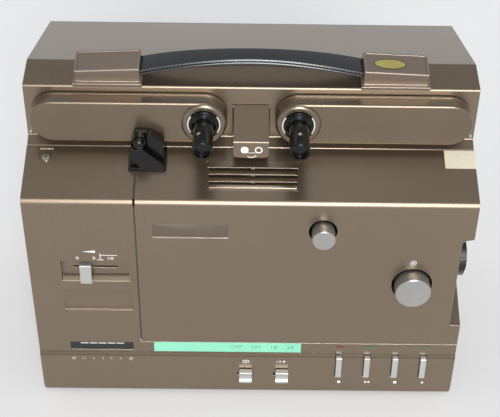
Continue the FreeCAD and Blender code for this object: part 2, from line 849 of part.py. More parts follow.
def main_housing(shell):
    """Top, back slope, sides and upper front in one shell, with the flange the plate bolts to."""
    front = LEDGE_D + PANEL_GAP
    flange_top = LEDGE_TOP - 2 * SHELF_STEP
    body = shell.common(box(-HALF_W, front, FOOT_H, HALF_W, REAR_Y, RIDGE_Z))
    flange = box(-INNER_X - SINK, front, FLOOR_TOP, INNER_X + SINK, front + WALL, flange_top)
    reach = INNER_X - FLANGE_RIM
    flange = flange.cut(box(-reach, front - 1, FLOOR_TOP + FLANGE_RIM, reach, front + WALL + 1,
                            flange_top - FLANGE_RIM))
    half = KEY_W / 2 + KEY_CLEAR
    lugs = []
    for side in (-1, 1):
        inner = side * (half + KEY_LUG_GAP)
        outer = side * (half + KEY_LUG_GAP + KEY_LUG_T)
        lugs.append(box(min(inner, outer), UPPER_Y + WALL - SINK, KEY_HINGE_Z - 2 * KEY_HINGE_R,
                        max(inner, outer), KEY_HINGE_Y + 2 * KEY_HINGE_R, KEY_HINGE_Z + 2 * KEY_HINGE_R))
    body = fuse([body, flange] + lugs)
    body = body.cut(box(-half, UPPER_Y - 1, KEY_NOSE_BOTTOM + KEY_BACK_RISE - KEY_SWING_CLEAR,
                        half, UPPER_Y + WALL + RUN, KEY_TOP + KEY_TOP_CLEAR))
    body = body.cut(cyl_x(KEY_HINGE_Y, KEY_HINGE_Z, KEY_HINGE_R + RUN, -KEY_W, KEY_W))
    bore = PIVOT_TUBE_R + RUN + BUSH_WALL + RUN
    for side in (-1, 1):
        body = body.cut(cyl_y(side * ARM_PIVOT_X, ARM_Z, bore, UPPER_Y - 1, UPPER_Y + WALL + 1))
    return body


def front_frame(shell):
    """Left-hand front panel and the band under the cover, with the volume hollow."""
    low = STRIP_TOP + PANEL_GAP
    panel = shell.common(box(-HALF_W, -1, low, SEAM_X - SEAM_GAP / 2, LEDGE_D, LEDGE_TOP + 1))
    band = shell.common(box(-HALF_W, -1, low, HALF_W, LEDGE_D, COVER_BOTTOM))
    backing = box(VOLUME_X0 - WALL, WALL - SINK, VOLUME_Z0 - WALL, VOLUME_X1 + WALL, VOLUME_D + WALL,
                  VOLUME_Z1 + WALL)
    body = fuse([panel, band, backing])
    body = body.cut(prism_x([
        (-1, VOLUME_Z0, 0),
        (0, VOLUME_Z0, 0),
        (VOLUME_D, VOLUME_Z0 + VOLUME_SLOPE, 0),
        (VOLUME_D, VOLUME_Z1, 0),
        (-1, VOLUME_Z1, 0),
    ], VOLUME_X0, VOLUME_X1))
    half = VOLUME_SLOT_H / 2
    body = body.cut(box(VOLUME_SLOT_X0, VOLUME_D - 1, VOLUME_SLOT_Z - half,
                        VOLUME_SLOT_X1, VOLUME_D + WALL + 1, VOLUME_SLOT_Z + half))
    body = body.cut(prism_x([
        (0, BLANK_Z1, 0),
        (-1, BLANK_Z1, 0),
        (-1, BLANK_Z0, 0),
        (BLANK_D, BLANK_Z0, 0),
    ], BLANK_X0, BLANK_X0 + BLANK_W))
    body = body.cut(box(LEVEL_X0, -1, LEVEL_Z0, LEVEL_X1, LEVEL_D, LEVEL_Z1))
    body = body.cut(guide_opening())
    half = LEDGE_POCKET_W / 2
    pocket = box(LEDGE_SCREW_X - half, LEDGE_SCREW_S, -LEDGE_POCKET_D,
                 LEDGE_SCREW_X + half, LEDGE_SCREW_S + LEDGE_POCKET_L, 2)
    body = body.cut(on_ledge(pocket))
    shank = on_ledge(cyl_z(LEDGE_SCREW_X, LEDGE_SCREW_S, SCREW_SHANK_R + RUN, -WALL - 1, 1))
    return body.cut(shank)


def guide_opening():
    """Cut-out in the ledge round the foot of the film guide."""
    return box(GUIDE_X0 - LOOSE, GUIDE_Y0 - LOOSE, FRONT_TOP, GUIDE_X1 + LOOSE,
               GUIDE_BASE_Y1 + LOOSE, LEDGE_TOP + 2)


def control_strip(shell):
    """Leaning strip along the foot of the front, with the switch slots and the key windows."""
    front = strip_y(FOOT_H)
    body = shell.common(box(-HALF_W, front, FOOT_H, HALF_W, LEDGE_D, STRIP_TOP))
    for x in SWITCH_X:
        left = x - SWITCH_STEM_W / 2 - SWITCH_TRAVEL - LOOSE
        right = x + SWITCH_STEM_W / 2 + LOOSE
        half = SWITCH_STEM_H / 2 + LOOSE
        body = body.cut(box(left, front - 1, SWITCH_Z - half, right, WALL + 1, SWITCH_Z + half))
    for i in range(len(KEY_NAMES)):
        x = KEYS_X0 + i * KEYS_PITCH
        half = KEYS_W / 2 + KEYS_CLEAR
        bottom = KEYS_BOTTOM - KEYS_DROP - KEYS_CLEAR
        body = body.cut(box(x - half, front - 1, bottom, x + half, WALL + 1, STRIP_TOP + 1))
    return body


def rear_cover(case):
    """Back plate with cooling slots, loudspeaker slots and the holes for the connectors."""
    body = case.common(box(-HALF_W, REAR_Y, FOOT_H, HALF_W, CASE_D, RIDGE_Z))
    for i in range(REAR_SLOTS):
        x = REAR_SLOT_X + i * REAR_SLOT_PITCH
        body = body.cut(rear_slot(x, REAR_SLOT_Z0, REAR_SLOT_Z0 + REAR_SLOT_L))
    for i in range(SPEAKER_SLOTS):
        run = (i - (SPEAKER_SLOTS - 1) / 2) * REAR_SLOT_PITCH
        reach = math.sqrt((SPEAKER_R - SPEAKER_SLOT_RIM) ** 2 - run ** 2)
        body = body.cut(rear_slot(SPEAKER_X + run, SPEAKER_Z - reach, SPEAKER_Z + reach))
    body = body.cut(box(INLET_X - INLET_W / 2 - RUN, REAR_Y - 1, INLET_Z - INLET_H / 2 - RUN,
                        INLET_X + INLET_W / 2 + RUN, CASE_D + 1, INLET_Z + INLET_H / 2 + RUN))
    for i in range(SOCKET_COUNT):
        x = SOCKET_X0 + i * SOCKET_PITCH
        body = body.cut(cyl_y(x, SOCKET_Z, SOCKET_R + RUN, REAR_Y - 1, CASE_D + 1))
    for x, z in rear_screws():
        body = body.cut(cyl_y(x, z, SCREW_SHANK_R + RUN, REAR_Y - 1, CASE_D + 1))
    return body


def rear_slot(x, z0, z1):
    half = REAR_SLOT_W / 2
    end = half - RUN
    return prism_y([
        (x - half, z0, end),
        (x + half, z0, end),
        (x + half, z1, end),
        (x - half, z1, end),
    ], REAR_Y - 1, CASE_D + 1)


def rear_screws():
    """Places of the six screws that hold the back plate."""
    x = HALF_W - REAR_SCREW_INSET
    low = FOOT_H + REAR_SCREW_LOW
    high = BACK_TOP - REAR_SCREW_INSET
    return [(-x, low), (0, low), (x, low), (-x, high), (0, high), (x, high)]


def base_plate():
    """Floor of the case, set inside the walls just above their lower edge."""
    front = strip_y(FOOT_H) + WALL + PANEL_GAP + LOOSE
    x = INNER_X - PANEL_GAP
    corner = FOOT_CORNER_R
    return prism_z([
        (-x, front, corner),
        (x, front, corner),
        (x, REAR_Y - PANEL_GAP, corner),
        (-x, REAR_Y - PANEL_GAP, corner),
    ], FOOT_H + PANEL_GAP, FLOOR_TOP)


def feet():
    """Four turned rubber feet under the floor, dished a little at the sole edge."""
    out = []
    top = FOOT_H + PANEL_GAP
    for x in (-HALF_W + FOOT_INSET_X, HALF_W - FOOT_INSET_X):
        for y in (FOOT_INSET_Y, CASE_D - FOOT_INSET_Y):
            out.append(Part.makeCone(FOOT_R - FOOT_TAPER, FOOT_R, top, V(x, y, 0)))
    return Part.makeCompound(out)


def level_window():
    return box(LEVEL_X0 + RUN, LEVEL_SUNK, LEVEL_Z0 + RUN, LEVEL_X1 - RUN, LEVEL_D, LEVEL_Z1 - RUN)


def housing_screws():
    """Back plate screws, the ledge screw and the two small ones beside the reel arms."""
    out = []
    for x, z in rear_screws():
        head = cyl_y(x, z, SCREW_R, CASE_D, CASE_D + SCREW_HEAD_H)
        out.append(head.fuse(cyl_y(x, z, SCREW_SHANK_R, REAR_Y - SCREW_BITE, CASE_D)))
    head = cyl_z(LEDGE_SCREW_X, LEDGE_SCREW_S, LEDGE_SCREW_R, 0, SCREW_HEAD_H)
    shank = cyl_z(LEDGE_SCREW_X, LEDGE_SCREW_S, SCREW_SHANK_R, -WALL - SCREW_BITE, 0)
    out.append(on_ledge(head.fuse(shank)))
    for side in (-1, 1):
        x = side * (HALF_W - SMALL_SCREW_INSET)
        z = SHELF_TOP + SMALL_SCREW_RISE
        out.append(cyl_y(x, z, SMALL_SCREW_R, UPPER_Y - SMALL_SCREW_H, UPPER_Y))
    return Part.makeCompound(out)


# Handle


def mount_block(x0, x1, s0, s1, below):
    """Block on the top strip whose upper face, lowered by below, rises towards the strap."""
    tilt = (MOUNT_INNER_H - MOUNT_OUTER_H) / (MOUNT_X1 - MOUNT_X0)
    top0 = MOUNT_INNER_H - tilt * (x0 - MOUNT_X0) - below
    top1 = MOUNT_INNER_H - tilt * (x1 - MOUNT_X0) - below
    return prism_y([(x0, 0, 0), (x0, top0, 0), (x1, top1, 0), (x1, 0, 0)], s0, s1)


def both_sides(shape):
    return Part.makeCompound([shape.mirror(V(0, 0, 0), V(1, 0, 0)), shape])


def handle_mounts():
    """Two end blocks of the handle: a pocket for the strap and a foot that laps over the front edge."""
    block = mount_block(MOUNT_X0, MOUNT_X1, MOUNT_S0, MOUNT_S1, 0)
    block = rounded(block, MOUNT_EDGE_R, lambda x, y, z: z > MOUNT_BASE_H)
    foot_x0, foot_x1 = MOUNT_X0 - MOUNT_SPREAD, MOUNT_X1 + MOUNT_SPREAD
    foot = box(foot_x0, -MOUNT_BASE_FRONT, 0, foot_x1, MOUNT_S1, MOUNT_BASE_H)
    x0, x1 = MOUNT_X0 + MOUNT_RIM, MOUNT_X1 - MOUNT_RIM
    s0, s1 = MOUNT_S0 + MOUNT_RIM, MOUNT_S1 - MOUNT_RIM
    recess = mount_block(x0, x1, s0, s1, -1)
    recess = recess.cut(mount_block(x0 - 1, x1 + 1, s0 - 1, s1 + 1, MOUNT_RIM_H + CAP_T))
    pocket = box(MOUNT_X0 - 2 * MOUNT_SPREAD, STRAP_S0 - STRAP_CLEAR, STRAP_END_H - STRAP_ENTRY,
                 STRAP_END_X + STRAP_ENTRY + STRAP_CLEAR, STRAP_S1 + STRAP_CLEAR,
                 STRAP_END_H + STRAP_T + STRAP_ENTRY)
    block = on_top(fuse([block, foot]).cut(recess).cut(pocket))
    lip = box(foot_x0, UPPER_Y - MOUNT_BASE_FRONT * math.cos(TOP_SLOPE), UPPER_TOP - MOUNT_LIP_DOWN,
              foot_x1, UPPER_Y - MOUNT_LIP_GAP, UPPER_TOP + SINK)
    return both_sides(fuse([block, lip]))


def handle_caps():
    """Inset cover plates in the tops of the two end blocks."""
    gap = MOUNT_RIM + CAP_GAP
    x0, x1 = MOUNT_X0 + gap, MOUNT_X1 - gap
    s0, s1 = MOUNT_S0 + gap, MOUNT_S1 - gap
    cap = mount_block(x0, x1, s0, s1, MOUNT_RIM_H)
    cap = cap.cut(mount_block(x0 - 1, x1 + 1, s0 - 1, s1 + 1, MOUNT_RIM_H + CAP_T))
    return both_sides(on_top(cap))


def handle_strap():
    """Flat strap bowed upwards between the end blocks, turned about one line under the middle."""
    middle = STRAP_END_H + STRAP_RISE
    bow = (STRAP_END_X ** 2 + STRAP_RISE ** 2) / (2 * STRAP_RISE)
    angle = math.degrees(math.asin(STRAP_END_X / bow))
    r = STRAP_T / 2 - STRAP_EDGE
    corners = [
        (STRAP_S0, middle, r),
        (STRAP_S1, middle, r),
        (STRAP_S1, middle + STRAP_T, r),
        (STRAP_S0, middle + STRAP_T, r),
    ]
    face = Part.Face(rounded_wire(corners, lambda p: V(0, p.x, p.y)))
    face.rotate(V(0, 0, middle - bow), V(0, 1, 0), -angle)
    return on_top(face.revolve(V(0, 0, middle - bow), V(0, 1, 0), 2 * angle))


# Reel arms


def stadium(x0, x1, r, y0, y1):
    bar = box(x0, y0, ARM_Z - r, x1, y1, ARM_Z + r)
    return fuse([bar, cyl_y(x0, ARM_Z, r, y0, y1), cyl_y(x1, ARM_Z, r, y0, y1)])


def arm_shell(side):
    """Hollow front half of a reel arm, with the bearing web behind the spindle."""
    back = ARM_BACK_Y - ARM_BACK_T
    x0, x1 = sorted((side * ARM_PIVOT_X, side * SPINDLE_X))
    body = stadium(x0, x1, ARM_R, ARM_FACE_Y, back)
    body = rounded(body, ARM_EDGE_R, lambda x, y, z: near(y, ARM_FACE_Y))
    body = body.cut(stadium(x0, x1, ARM_R - ARM_WALL, ARM_FACE_Y + ARM_WALL, back + 1))
    x = side * SPINDLE_X
    web_y = ARM_FACE_Y + ARM_WALL - SINK
    body = body.fuse(cyl_y(x, ARM_Z, ARM_R - ARM_WALL + SINK, web_y, web_y + WEB_T))
    body = body.cut(cyl_y(x, ARM_Z, RING_INNER_R, ARM_FACE_Y - 1, web_y))
    return body.cut(cyl_y(x, ARM_Z, AXLE_R + RUN, web_y - 1, web_y + WEB_T + 1)).removeSplitter()


def arm_back(side):
    """Back plate of a reel arm with its hollow pivot tube, and the clip that keeps the tube in."""
    back = ARM_BACK_Y
    x0, x1 = sorted((side * ARM_PIVOT_X, side * SPINDLE_X))
    plate = stadium(x0, x1, ARM_R, back - ARM_BACK_T, back)
    plate = plate.cut(cyl_y(side * SPINDLE_X, ARM_Z, AXLE_R + RUN, back - ARM_BACK_T - 1, back - SINK))
    x = side * ARM_PIVOT_X
    clip_y = UPPER_Y + BUSH_L + LOOSE
    clip_end = clip_y + CIRCLIP_T
    end = clip_end + CIRCLIP_T
    tube = cyl_y(x, ARM_Z, PIVOT_TUBE_R, back - SINK, end).cut(plate)
    plate = plate.fuse(tube).cut(cyl_y(x, ARM_Z, PIVOT_BORE_R, back - ARM_BACK_T - 1, end + 1))
    seat_r = PIVOT_TUBE_R - CIRCLIP_SEAT
    groove = cyl_y(x, ARM_Z, PIVOT_TUBE_R + 1, clip_y - RUN, clip_end + RUN)
    plate = plate.cut(groove.cut(cyl_y(x, ARM_Z, seat_r, clip_y - 1, clip_end + 1)))
    clip = cyl_y(x, ARM_Z, PIVOT_TUBE_R + CIRCLIP_PROUD, clip_y, clip_end)
    clip = clip.cut(cyl_y(x, ARM_Z, seat_r + RUN, clip_y - 1, clip_end + 1))
    half = CIRCLIP_MOUTH / 2
    clip = clip.cut(box(x - half, clip_y - 1, ARM_Z, x + half, clip_end + 1, ARM_Z + 2 * PIVOT_TUBE_R))
    return Part.makeCompound([plate.removeSplitter(), clip])


def arm_ring(side):
    """Bevelled ring round the foot of a spindle."""
    y = ARM_FACE_Y
    outer = ARM_R - RING_INSET
    return turned_y(side * SPINDLE_X, ARM_Z, [
        (RING_INNER_R, y),
        (outer, y),
        (outer - RING_BEVEL / 4, y - RING_PROUD * 0.6),
        (outer - RING_BEVEL, y - RING_PROUD),
        (RING_INNER_R, y - RING_PROUD),
    ])


def arm_bushes():
    """Flanged bushes in the upper front wall that the arms' pivot tubes turn in."""
    out = []
    inner = PIVOT_TUBE_R + RUN
    outer = inner + BUSH_WALL
    for side in (-1, 1):
        out.append(turned_y(side * ARM_PIVOT_X, ARM_Z, [
            (inner, UPPER_Y),
            (outer, UPPER_Y),
            (outer, UPPER_Y + WALL),
            (outer + BUSH_FLANGE, UPPER_Y + WALL),
            (outer + BUSH_FLANGE, UPPER_Y + WALL + BUSH_FLANGE_T),
            (outer, UPPER_Y + WALL + BUSH_FLANGE_T),
            (outer, UPPER_Y + BUSH_L),
            (inner, UPPER_Y + BUSH_L),
        ]))
    return Part.makeCompound(out)


def ball_direction(side_name):
    angle = math.radians(BALL_ANGLE[side_name])
    return V(-math.sin(angle), 0, math.cos(angle))


def spindle(side, side_name):
    """Reel spindle: recessed tip, shaft, flared collar, axle and belt pulley inside the arm."""
    x = side * SPINDLE_X
    tip = SPINDLE_TIP_Y
    web_y = ARM_FACE_Y + ARM_WALL - SINK
    foot = web_y - LOOSE
    pulley_y = web_y + WEB_T + LOOSE
    end = ARM_BACK_Y - AXLE_END_GAP
    collar_y = ARM_FACE_Y - RING_PROUD - COLLAR_PROUD
    body = turned_y(x, ARM_Z, [
        (0, tip + TIP_RECESS_D),
        (TIP_RECESS_R, tip + TIP_RECESS_D),
        (TIP_RECESS_R, tip),
        (SPINDLE_R - TIP_CHAMFER, tip),
        (SPINDLE_R, tip + TIP_CHAMFER),
        (SPINDLE_R, collar_y - COLLAR_FLARE),
        (SPINDLE_R + COLLAR_FLARE, collar_y),
        (COLLAR_R - COLLAR_EDGE, collar_y),
        (COLLAR_R, collar_y + COLLAR_EDGE),
        (COLLAR_R, foot),
        (AXLE_R, foot),
        (AXLE_R, pulley_y),
        (AXLE_PULLEY_R, pulley_y),
        (AXLE_PULLEY_R - AXLE_GROOVE, pulley_y + AXLE_PULLEY_T / 2),
        (AXLE_PULLEY_R, pulley_y + AXLE_PULLEY_T),
        (AXLE_R, pulley_y + AXLE_PULLEY_T),
        (AXLE_R, end),
        (0, end),
    ])
    way = ball_direction(side_name)
    seat = SPINDLE_R - 2 * BALL_R - BALL_CLEAR
    pocket = Part.makeCylinder(BALL_R + BALL_CLEAR, 2 * SPINDLE_R,
                               V(x, BALL_Y, ARM_Z) + way * seat, way)
    return body.cut(pocket)


def spindle_ball(side, side_name):
    """Sprung ball that keeps a reel on the spindle."""
    out = ball_direction(side_name) * (SPINDLE_R + BALL_PROUD - BALL_R)
    return Part.makeSphere(BALL_R, V(side * SPINDLE_X, BALL_Y, ARM_Z) + out)


def rewind_key():
    """Wedge key between the arms, its lower edge bowed, hung on two stub pins inside the case."""
    half = KEY_W / 2
    inner_y = KEY_HINGE_Y + KEY_HINGE_BACK
    body = prism_x([
        (KEY_FRONT_Y, KEY_NOSE_BOTTOM, KEY_NOSE_EDGE_R),
        (KEY_FRONT_Y, KEY_NOSE_TOP, KEY_FOLD_R),
        (UPPER_Y - 1.0, KEY_TOP, KEY_TOP_R),
        (inner_y, KEY_TOP, 0),
        (inner_y, KEY_HINGE_Z - 2 * KEY_HINGE_R, 0),
        (UPPER_Y, KEY_NOSE_BOTTOM + KEY_BACK_RISE, 0),
    ], -half, half)
    face = [(half, KEY_TOP, 0), (-half, KEY_TOP, 0)]
    for i in range(KEY_NOSE_STEPS + 1):
        x = -half + KEY_W * i / KEY_NOSE_STEPS
        r = KEY_NOSE_SIDE_R if i in (0, KEY_NOSE_STEPS) else 0
        face.append((x, KEY_NOSE_BOTTOM + KEY_NOSE_BOW * (x / half) ** 2, r))
    body = body.common(prism_y(face, KEY_FRONT_Y, inner_y))
    under_y = UPPER_Y - KEY_SKIN
    under_z = KEY_NOSE_BOTTOM - 2 * KEY_SKIN
    body = body.cut(prism_x([
        (KEY_FRONT_Y + KEY_SKIN, under_z, 0),
        (KEY_FRONT_Y + KEY_SKIN, KEY_NOSE_TOP - KEY_SKIN, 0),
        (under_y, KEY_TOP - 1.5 * KEY_SKIN, 0),
        (under_y, under_z, 0),
    ], -half + KEY_SKIN, half - KEY_SKIN))
    pin = half + KEY_CLEAR + KEY_LUG_T
    return fuse([body, cyl_x(KEY_HINGE_Y, KEY_HINGE_Z, KEY_HINGE_R, -pin, pin)])


# Film guide


def film_guide():
    """Black moulding on the ledge: foot, back wall, slanted film bar, cheek, fin and roller pin."""
    y0 = GUIDE_Y0
    y1 = GUIDE_BASE_Y1
    x0 = GUIDE_X0 + GUIDE_EDGE
    x1 = GUIDE_X1 - 2 * GUIDE_EDGE
    low = ledge_z(y0)
    sunk = low - GUIDE_SUNK
    foot = prism_x([
        (y0, sunk, 0),
        (y0, low + GUIDE_FOOT_LIP, 0),
        (y1, ledge_z(y1) + GUIDE_BASE_H - GUIDE_FOOT_LIP, 0),
        (y1, sunk, 0),
    ], GUIDE_X0, GUIDE_X1)
    crown = ROLLER_Z + ROLLER_WALL_UP
    wall = prism_y([
        (x0, low, 0),
        (x0 + GUIDE_BAR_LEAN, low + GUIDE_BAR_TOP, 0),
        (ROLLER_X - ROLLER_WALL_R, crown, GUIDE_R),
        (ROLLER_X + ROLLER_WALL_R, crown, GUIDE_R),
        (x1, low + GUIDE_FIN_END, 0),
        (x1, low, 0),
    ], GUIDE_Y1 - GUIDE_BACK_T, GUIDE_Y1)
    bar = prism_y([
        (x0, low + GUIDE_BAR_LOW, 0),
        (x0 + GUIDE_BAR_LEAN, low + GUIDE_BAR_TOP, GUIDE_R / 2),
        (GUIDE_X0 + GUIDE_BAR_HEAD, low + GUIDE_BAR_TOP - GUIDE_EDGE, GUIDE_R),
        (x1, low + GUIDE_BAR_TAIL, 0),
        (GUIDE_X1 - GUIDE_EDGE / 2, low, 0),
        (GUIDE_X0 + GUIDE_BAR_RUN, low, 0),
    ], y0 - GUIDE_BAR_PROUD, y0 - GUIDE_BAR_PROUD + GUIDE_BAR_T)
    cheek = prism_y([
        (x0, low, 0),
        (x0, low + GUIDE_BAR_LOW, 0),
        (x0 + GUIDE_BAR_LEAN, low + GUIDE_BAR_TOP - GUIDE_EDGE, 0),
        (GUIDE_X0 + GUIDE_BAR_RUN + GUIDE_EDGE, low, 0),
    ], y0 + GUIDE_CHEEK_IN, GUIDE_Y1)
    border = box(x0, y0 - GUIDE_BAR_PROUD, low, x0 + 2 * GUIDE_EDGE, GUIDE_Y1,
                 low + GUIDE_BAR_LOW + GUIDE_EDGE)
    fin = prism_y([
        (x1 - GUIDE_FIN_W, low + GUIDE_FIN_TOP, GUIDE_R),
        (x1, low + GUIDE_FIN_END, GUIDE_R),
        (x1, low, 0),
        (x1 - GUIDE_FIN_W / 2, low, 0),
        (x1 - GUIDE_FIN_W, low + GUIDE_BAR_LOW, 0),
    ], y0 + GUIDE_FIN_IN, GUIDE_Y1)
    pin = cyl_y(ROLLER_X, ROLLER_Z, ROLLER_PIN_R, ROLLER_FRONT_Y + ROLLER_CAP_T + LOOSE, GUIDE_Y1 - SINK)
    leg = box(GUIDE_X0 + GUIDE_LEG_L, y0 + GUIDE_FOOT_LIP, sunk - GUIDE_LEG_L,
              GUIDE_X1 - GUIDE_SUNK, PLATE_FRONT_Y, sunk + 1)
    return fuse([foot, wall, bar, cheek, border, fin, pin, leg])


def guide_roller():
    """Film roller: wide drum at the back, a groove, and a narrower nose with a domed end."""
    y0 = ROLLER_FRONT_Y
    y1 = ROLLER_BACK_Y
    nose_y = y0 + ROLLER_NOSE_L
    drum_y = nose_y + ROLLER_GROOVE_L
    bore = ROLLER_PIN_R + RUN
    return turned_y(ROLLER_X, ROLLER_Z, [
        (0, y0),
        (ROLLER_NOSE_R * 0.5, y0 + ROLLER_DOME * 0.15),
        (ROLLER_NOSE_R * 0.82, y0 + ROLLER_DOME * 0.48),
        (ROLLER_NOSE_R, y0 + ROLLER_DOME),
        (ROLLER_NOSE_R, nose_y),
        (ROLLER_GROOVE_R, nose_y),
        (ROLLER_GROOVE_R, drum_y),
        (ROLLER_R, drum_y),
        (ROLLER_R, y1),
        (bore, y1),
        (bore, y0 + ROLLER_CAP_T),
        (0, y0 + ROLLER_CAP_T),
    ])


# Front cover


def front_cover(shell):
    """Pull-off cover over the film path, with the knob wells, grille opening and lens hollow."""
    left = SEAM_X + SEAM_GAP / 2
    beyond = HALF_W + NOTCH_W
    deep = LEDGE_D + 1
    scoop_z = NOTCH_Z0 + SCOOP_RISE
    start = WALL - SINK
    start_z = NOTCH_Z0 + start * SCOOP_RISE / SCOOP_D
    body = shell.common(box(left, -1, COVER_BOTTOM + PANEL_GAP, HALF_W, LEDGE_D, LEDGE_TOP + 1))
    hollow_side = prism_x([
        (-1, NOTCH_Z0, 0),
        (0, NOTCH_Z0, 0),
        (SCOOP_D, scoop_z, 0),
        (deep, scoop_z, 0),
        (deep, NOTCH_Z1, 0),
        (-1, NOTCH_Z1, 0),
    ], NOTCH_X, beyond)
    hollow_front = prism_y([
        (NOTCH_X, NOTCH_Z0, NOTCH_FOOT_R),
        (beyond, NOTCH_Z0, 0),
        (beyond, NOTCH_Z1 + NOTCH_BRIM, 0),
        (NOTCH_X, NOTCH_Z1 - NOTCH_BRIM, NOTCH_R),
    ], -1, deep)
    body = body.cut(hollow_side.common(hollow_front))
    scoop = prism_x([
        (start, start_z, 0),
        (SCOOP_D, scoop_z, 0),
        (SCOOP_D, scoop_z - SCOOP_T, 0),
        (start, start_z - SCOOP_T, 0),
    ], SCOOP_X0, HALF_W)
    body = fuse([body, scoop])
    wells = ((FRAME_KNOB_X, FRAME_KNOB_Z, FRAME_KNOB_R), (FOCUS_KNOB_X, FOCUS_KNOB_Z, FOCUS_KNOB_R))
    for x, z, r in wells:
        body = body.cut(cyl_y(x, z, r + KNOB_CLEAR, -1, WALL + 1))
    body = body.cut(box(BADGE_X0, -1, BADGE_Z0, BADGE_X0 + BADGE_W, BADGE_D, BADGE_Z1))
    body = body.cut(on_ledge(box(VENT_X0, VENT_S0, -2 * WALL, VENT_X1, VENT_S1, 1)))
    return body.cut(box(left - 1, GUIDE_Y0 - LOOSE, FRONT_TOP, GUIDE_X1 + LOOSE, deep, LEDGE_TOP + 2))


def vent_grille():
    """Louvre panel: rim, flange under the ledge, slats lapped like shingles and one middle rib."""
    low = -WALL - VENT_FLANGE_T
    x0, x1 = VENT_X0 + VENT_RIM, VENT_X1 - VENT_RIM
    s0, s1 = VENT_S0 + VENT_RIM, VENT_S1 - VENT_RIM
    rim = box(VENT_X0 + VENT_GAP, VENT_S0 + VENT_GAP, low,
              VENT_X1 - VENT_GAP, VENT_S1 - VENT_GAP, -VENT_DOWN)
    flange = box(VENT_X0 - VENT_FLANGE, VENT_S0 - VENT_FLANGE, low,
                 VENT_X1 + VENT_FLANGE, VENT_S1 + VENT_FLANGE, -WALL)
    pieces = [fuse([rim, flange]).cut(box(x0, s0, low - 1, x1, s1, 1))]
    pitch = (s1 - s0 - VENT_TAIL) / (VENT_SLATS - 1)
    foot = -VENT_DOWN - VENT_SLAT_DROP - VENT_SLAT_T
    inside = box(x0 - SINK, s0 - SINK, foot, x1 + SINK, s1 + SINK, 0)
    for i in range(VENT_SLATS):
        s = s0 + i * pitch
        lip = s + (VENT_SLAT_LIP if i else VENT_BAR_W)
        slat = prism_x([
            (s, -VENT_DOWN, 0),
            (lip, -VENT_DOWN, 0),
            (lip + VENT_SLAT_RUN, foot + VENT_SLAT_T, 0),
            (lip + VENT_SLAT_RUN, foot, 0),
            (s, -VENT_DOWN - VENT_SLAT_T, 0),
        ], x0 - SINK, x1 + SINK)
        pieces.append(slat.common(inside))
    half = VENT_RIB_W / 2
    pieces.append(box(VENT_RIB_X - half, s0 - SINK, foot, VENT_RIB_X + half, s1 + SINK, -VENT_RIB_DOWN))
    return on_ledge(fuse(pieces))


# Knobs, slider, switches and keys


def knob_profile(radius, front):
    return [
        (0, front),
        (radius - KNOB_EDGE, front),
        (radius, front + KNOB_EDGE),
        (radius, KNOB_BACK_Y),
        (KNOB_SHAFT_R, KNOB_BACK_Y),
    ]


def framing_knob():
    """Small knob whose shaft turns in the mechanism plate."""
    profile = knob_profile(FRAME_KNOB_R, -FRAME_KNOB_PROUD)
    end = PLATE_BACK_Y + FRAME_SHAFT_END
    profile += [(KNOB_SHAFT_R, end), (0, end)]
    return turned_y(FRAME_KNOB_X, FRAME_KNOB_Z, profile)


def focus_knob():
    """Large knob with the pinion that drives the lens rack."""
    end = LENS_Y - HOLDER_R + FOCUS_BEARING - LOOSE
    profile = knob_profile(FOCUS_KNOB_R, -FOCUS_KNOB_PROUD)
    profile += [(KNOB_SHAFT_R, end), (0, end)]
    knob = turned_y(FOCUS_KNOB_X, FOCUS_KNOB_Z, profile)
    return fuse([knob, pinion()])


def tooth_module():
    return 2 * PINION_R / PINION_TEETH


def pinion():
    """Pinion with one tooth pointing straight up at rest."""
    tip = PINION_R + TOOTH_OUT * tooth_module()
    root = PINION_R - TOOTH_IN * tooth_module()
    share = math.pi / PINION_TEETH
    corners = []
    for i in range(PINION_TEETH):
        middle = math.pi / 2 + 2 * share * i
        for r, run in ((root, -TOOTH_ROOT_HALF), (tip, -TOOTH_TIP_HALF), (tip, TOOTH_TIP_HALF),
                       (root, TOOTH_ROOT_HALF)):
            a = middle + run * share
            corners.append(V(FOCUS_KNOB_X + r * math.cos(a), PINION_Y0, FOCUS_KNOB_Z + r * math.sin(a)))
    face = Part.Face(Part.makePolygon(corners + corners[:1]))
    return face.extrude(V(0, PINION_Y1 - PINION_Y0, 0))


def focus_rack():
    """Toothed bar over the pinion, with a gap between two teeth straight above its middle."""
    module = tooth_module()
    pitch = math.pi * module
    line = FOCUS_KNOB_Z + PINION_R
    root_z = line + RACK_IN * module
    tip_z = line - TOOTH_OUT * module
    pieces = [box(RACK_X0, PINION_Y0, root_z, RACK_X1, PINION_Y1, root_z + RACK_T)]
    first = math.ceil((RACK_X0 + RACK_END_FIRST - FOCUS_KNOB_X) / pitch - 0.5)
    last = math.floor((RACK_X1 - RACK_END_LAST - FOCUS_KNOB_X) / pitch - 0.5)
    for i in range(first, last + 1):
        x = FOCUS_KNOB_X + (i + 0.5) * pitch
        root = RACK_ROOT_HALF * pitch
        tip = RACK_TIP_HALF * pitch
        pieces.append(prism_y([
            (x - root, root_z + SINK, 0),
            (x - tip, tip_z, 0),
            (x + tip, tip_z, 0),
            (x + root, root_z + SINK, 0),
        ], PINION_Y0, PINION_Y1))
    return fuse(pieces)


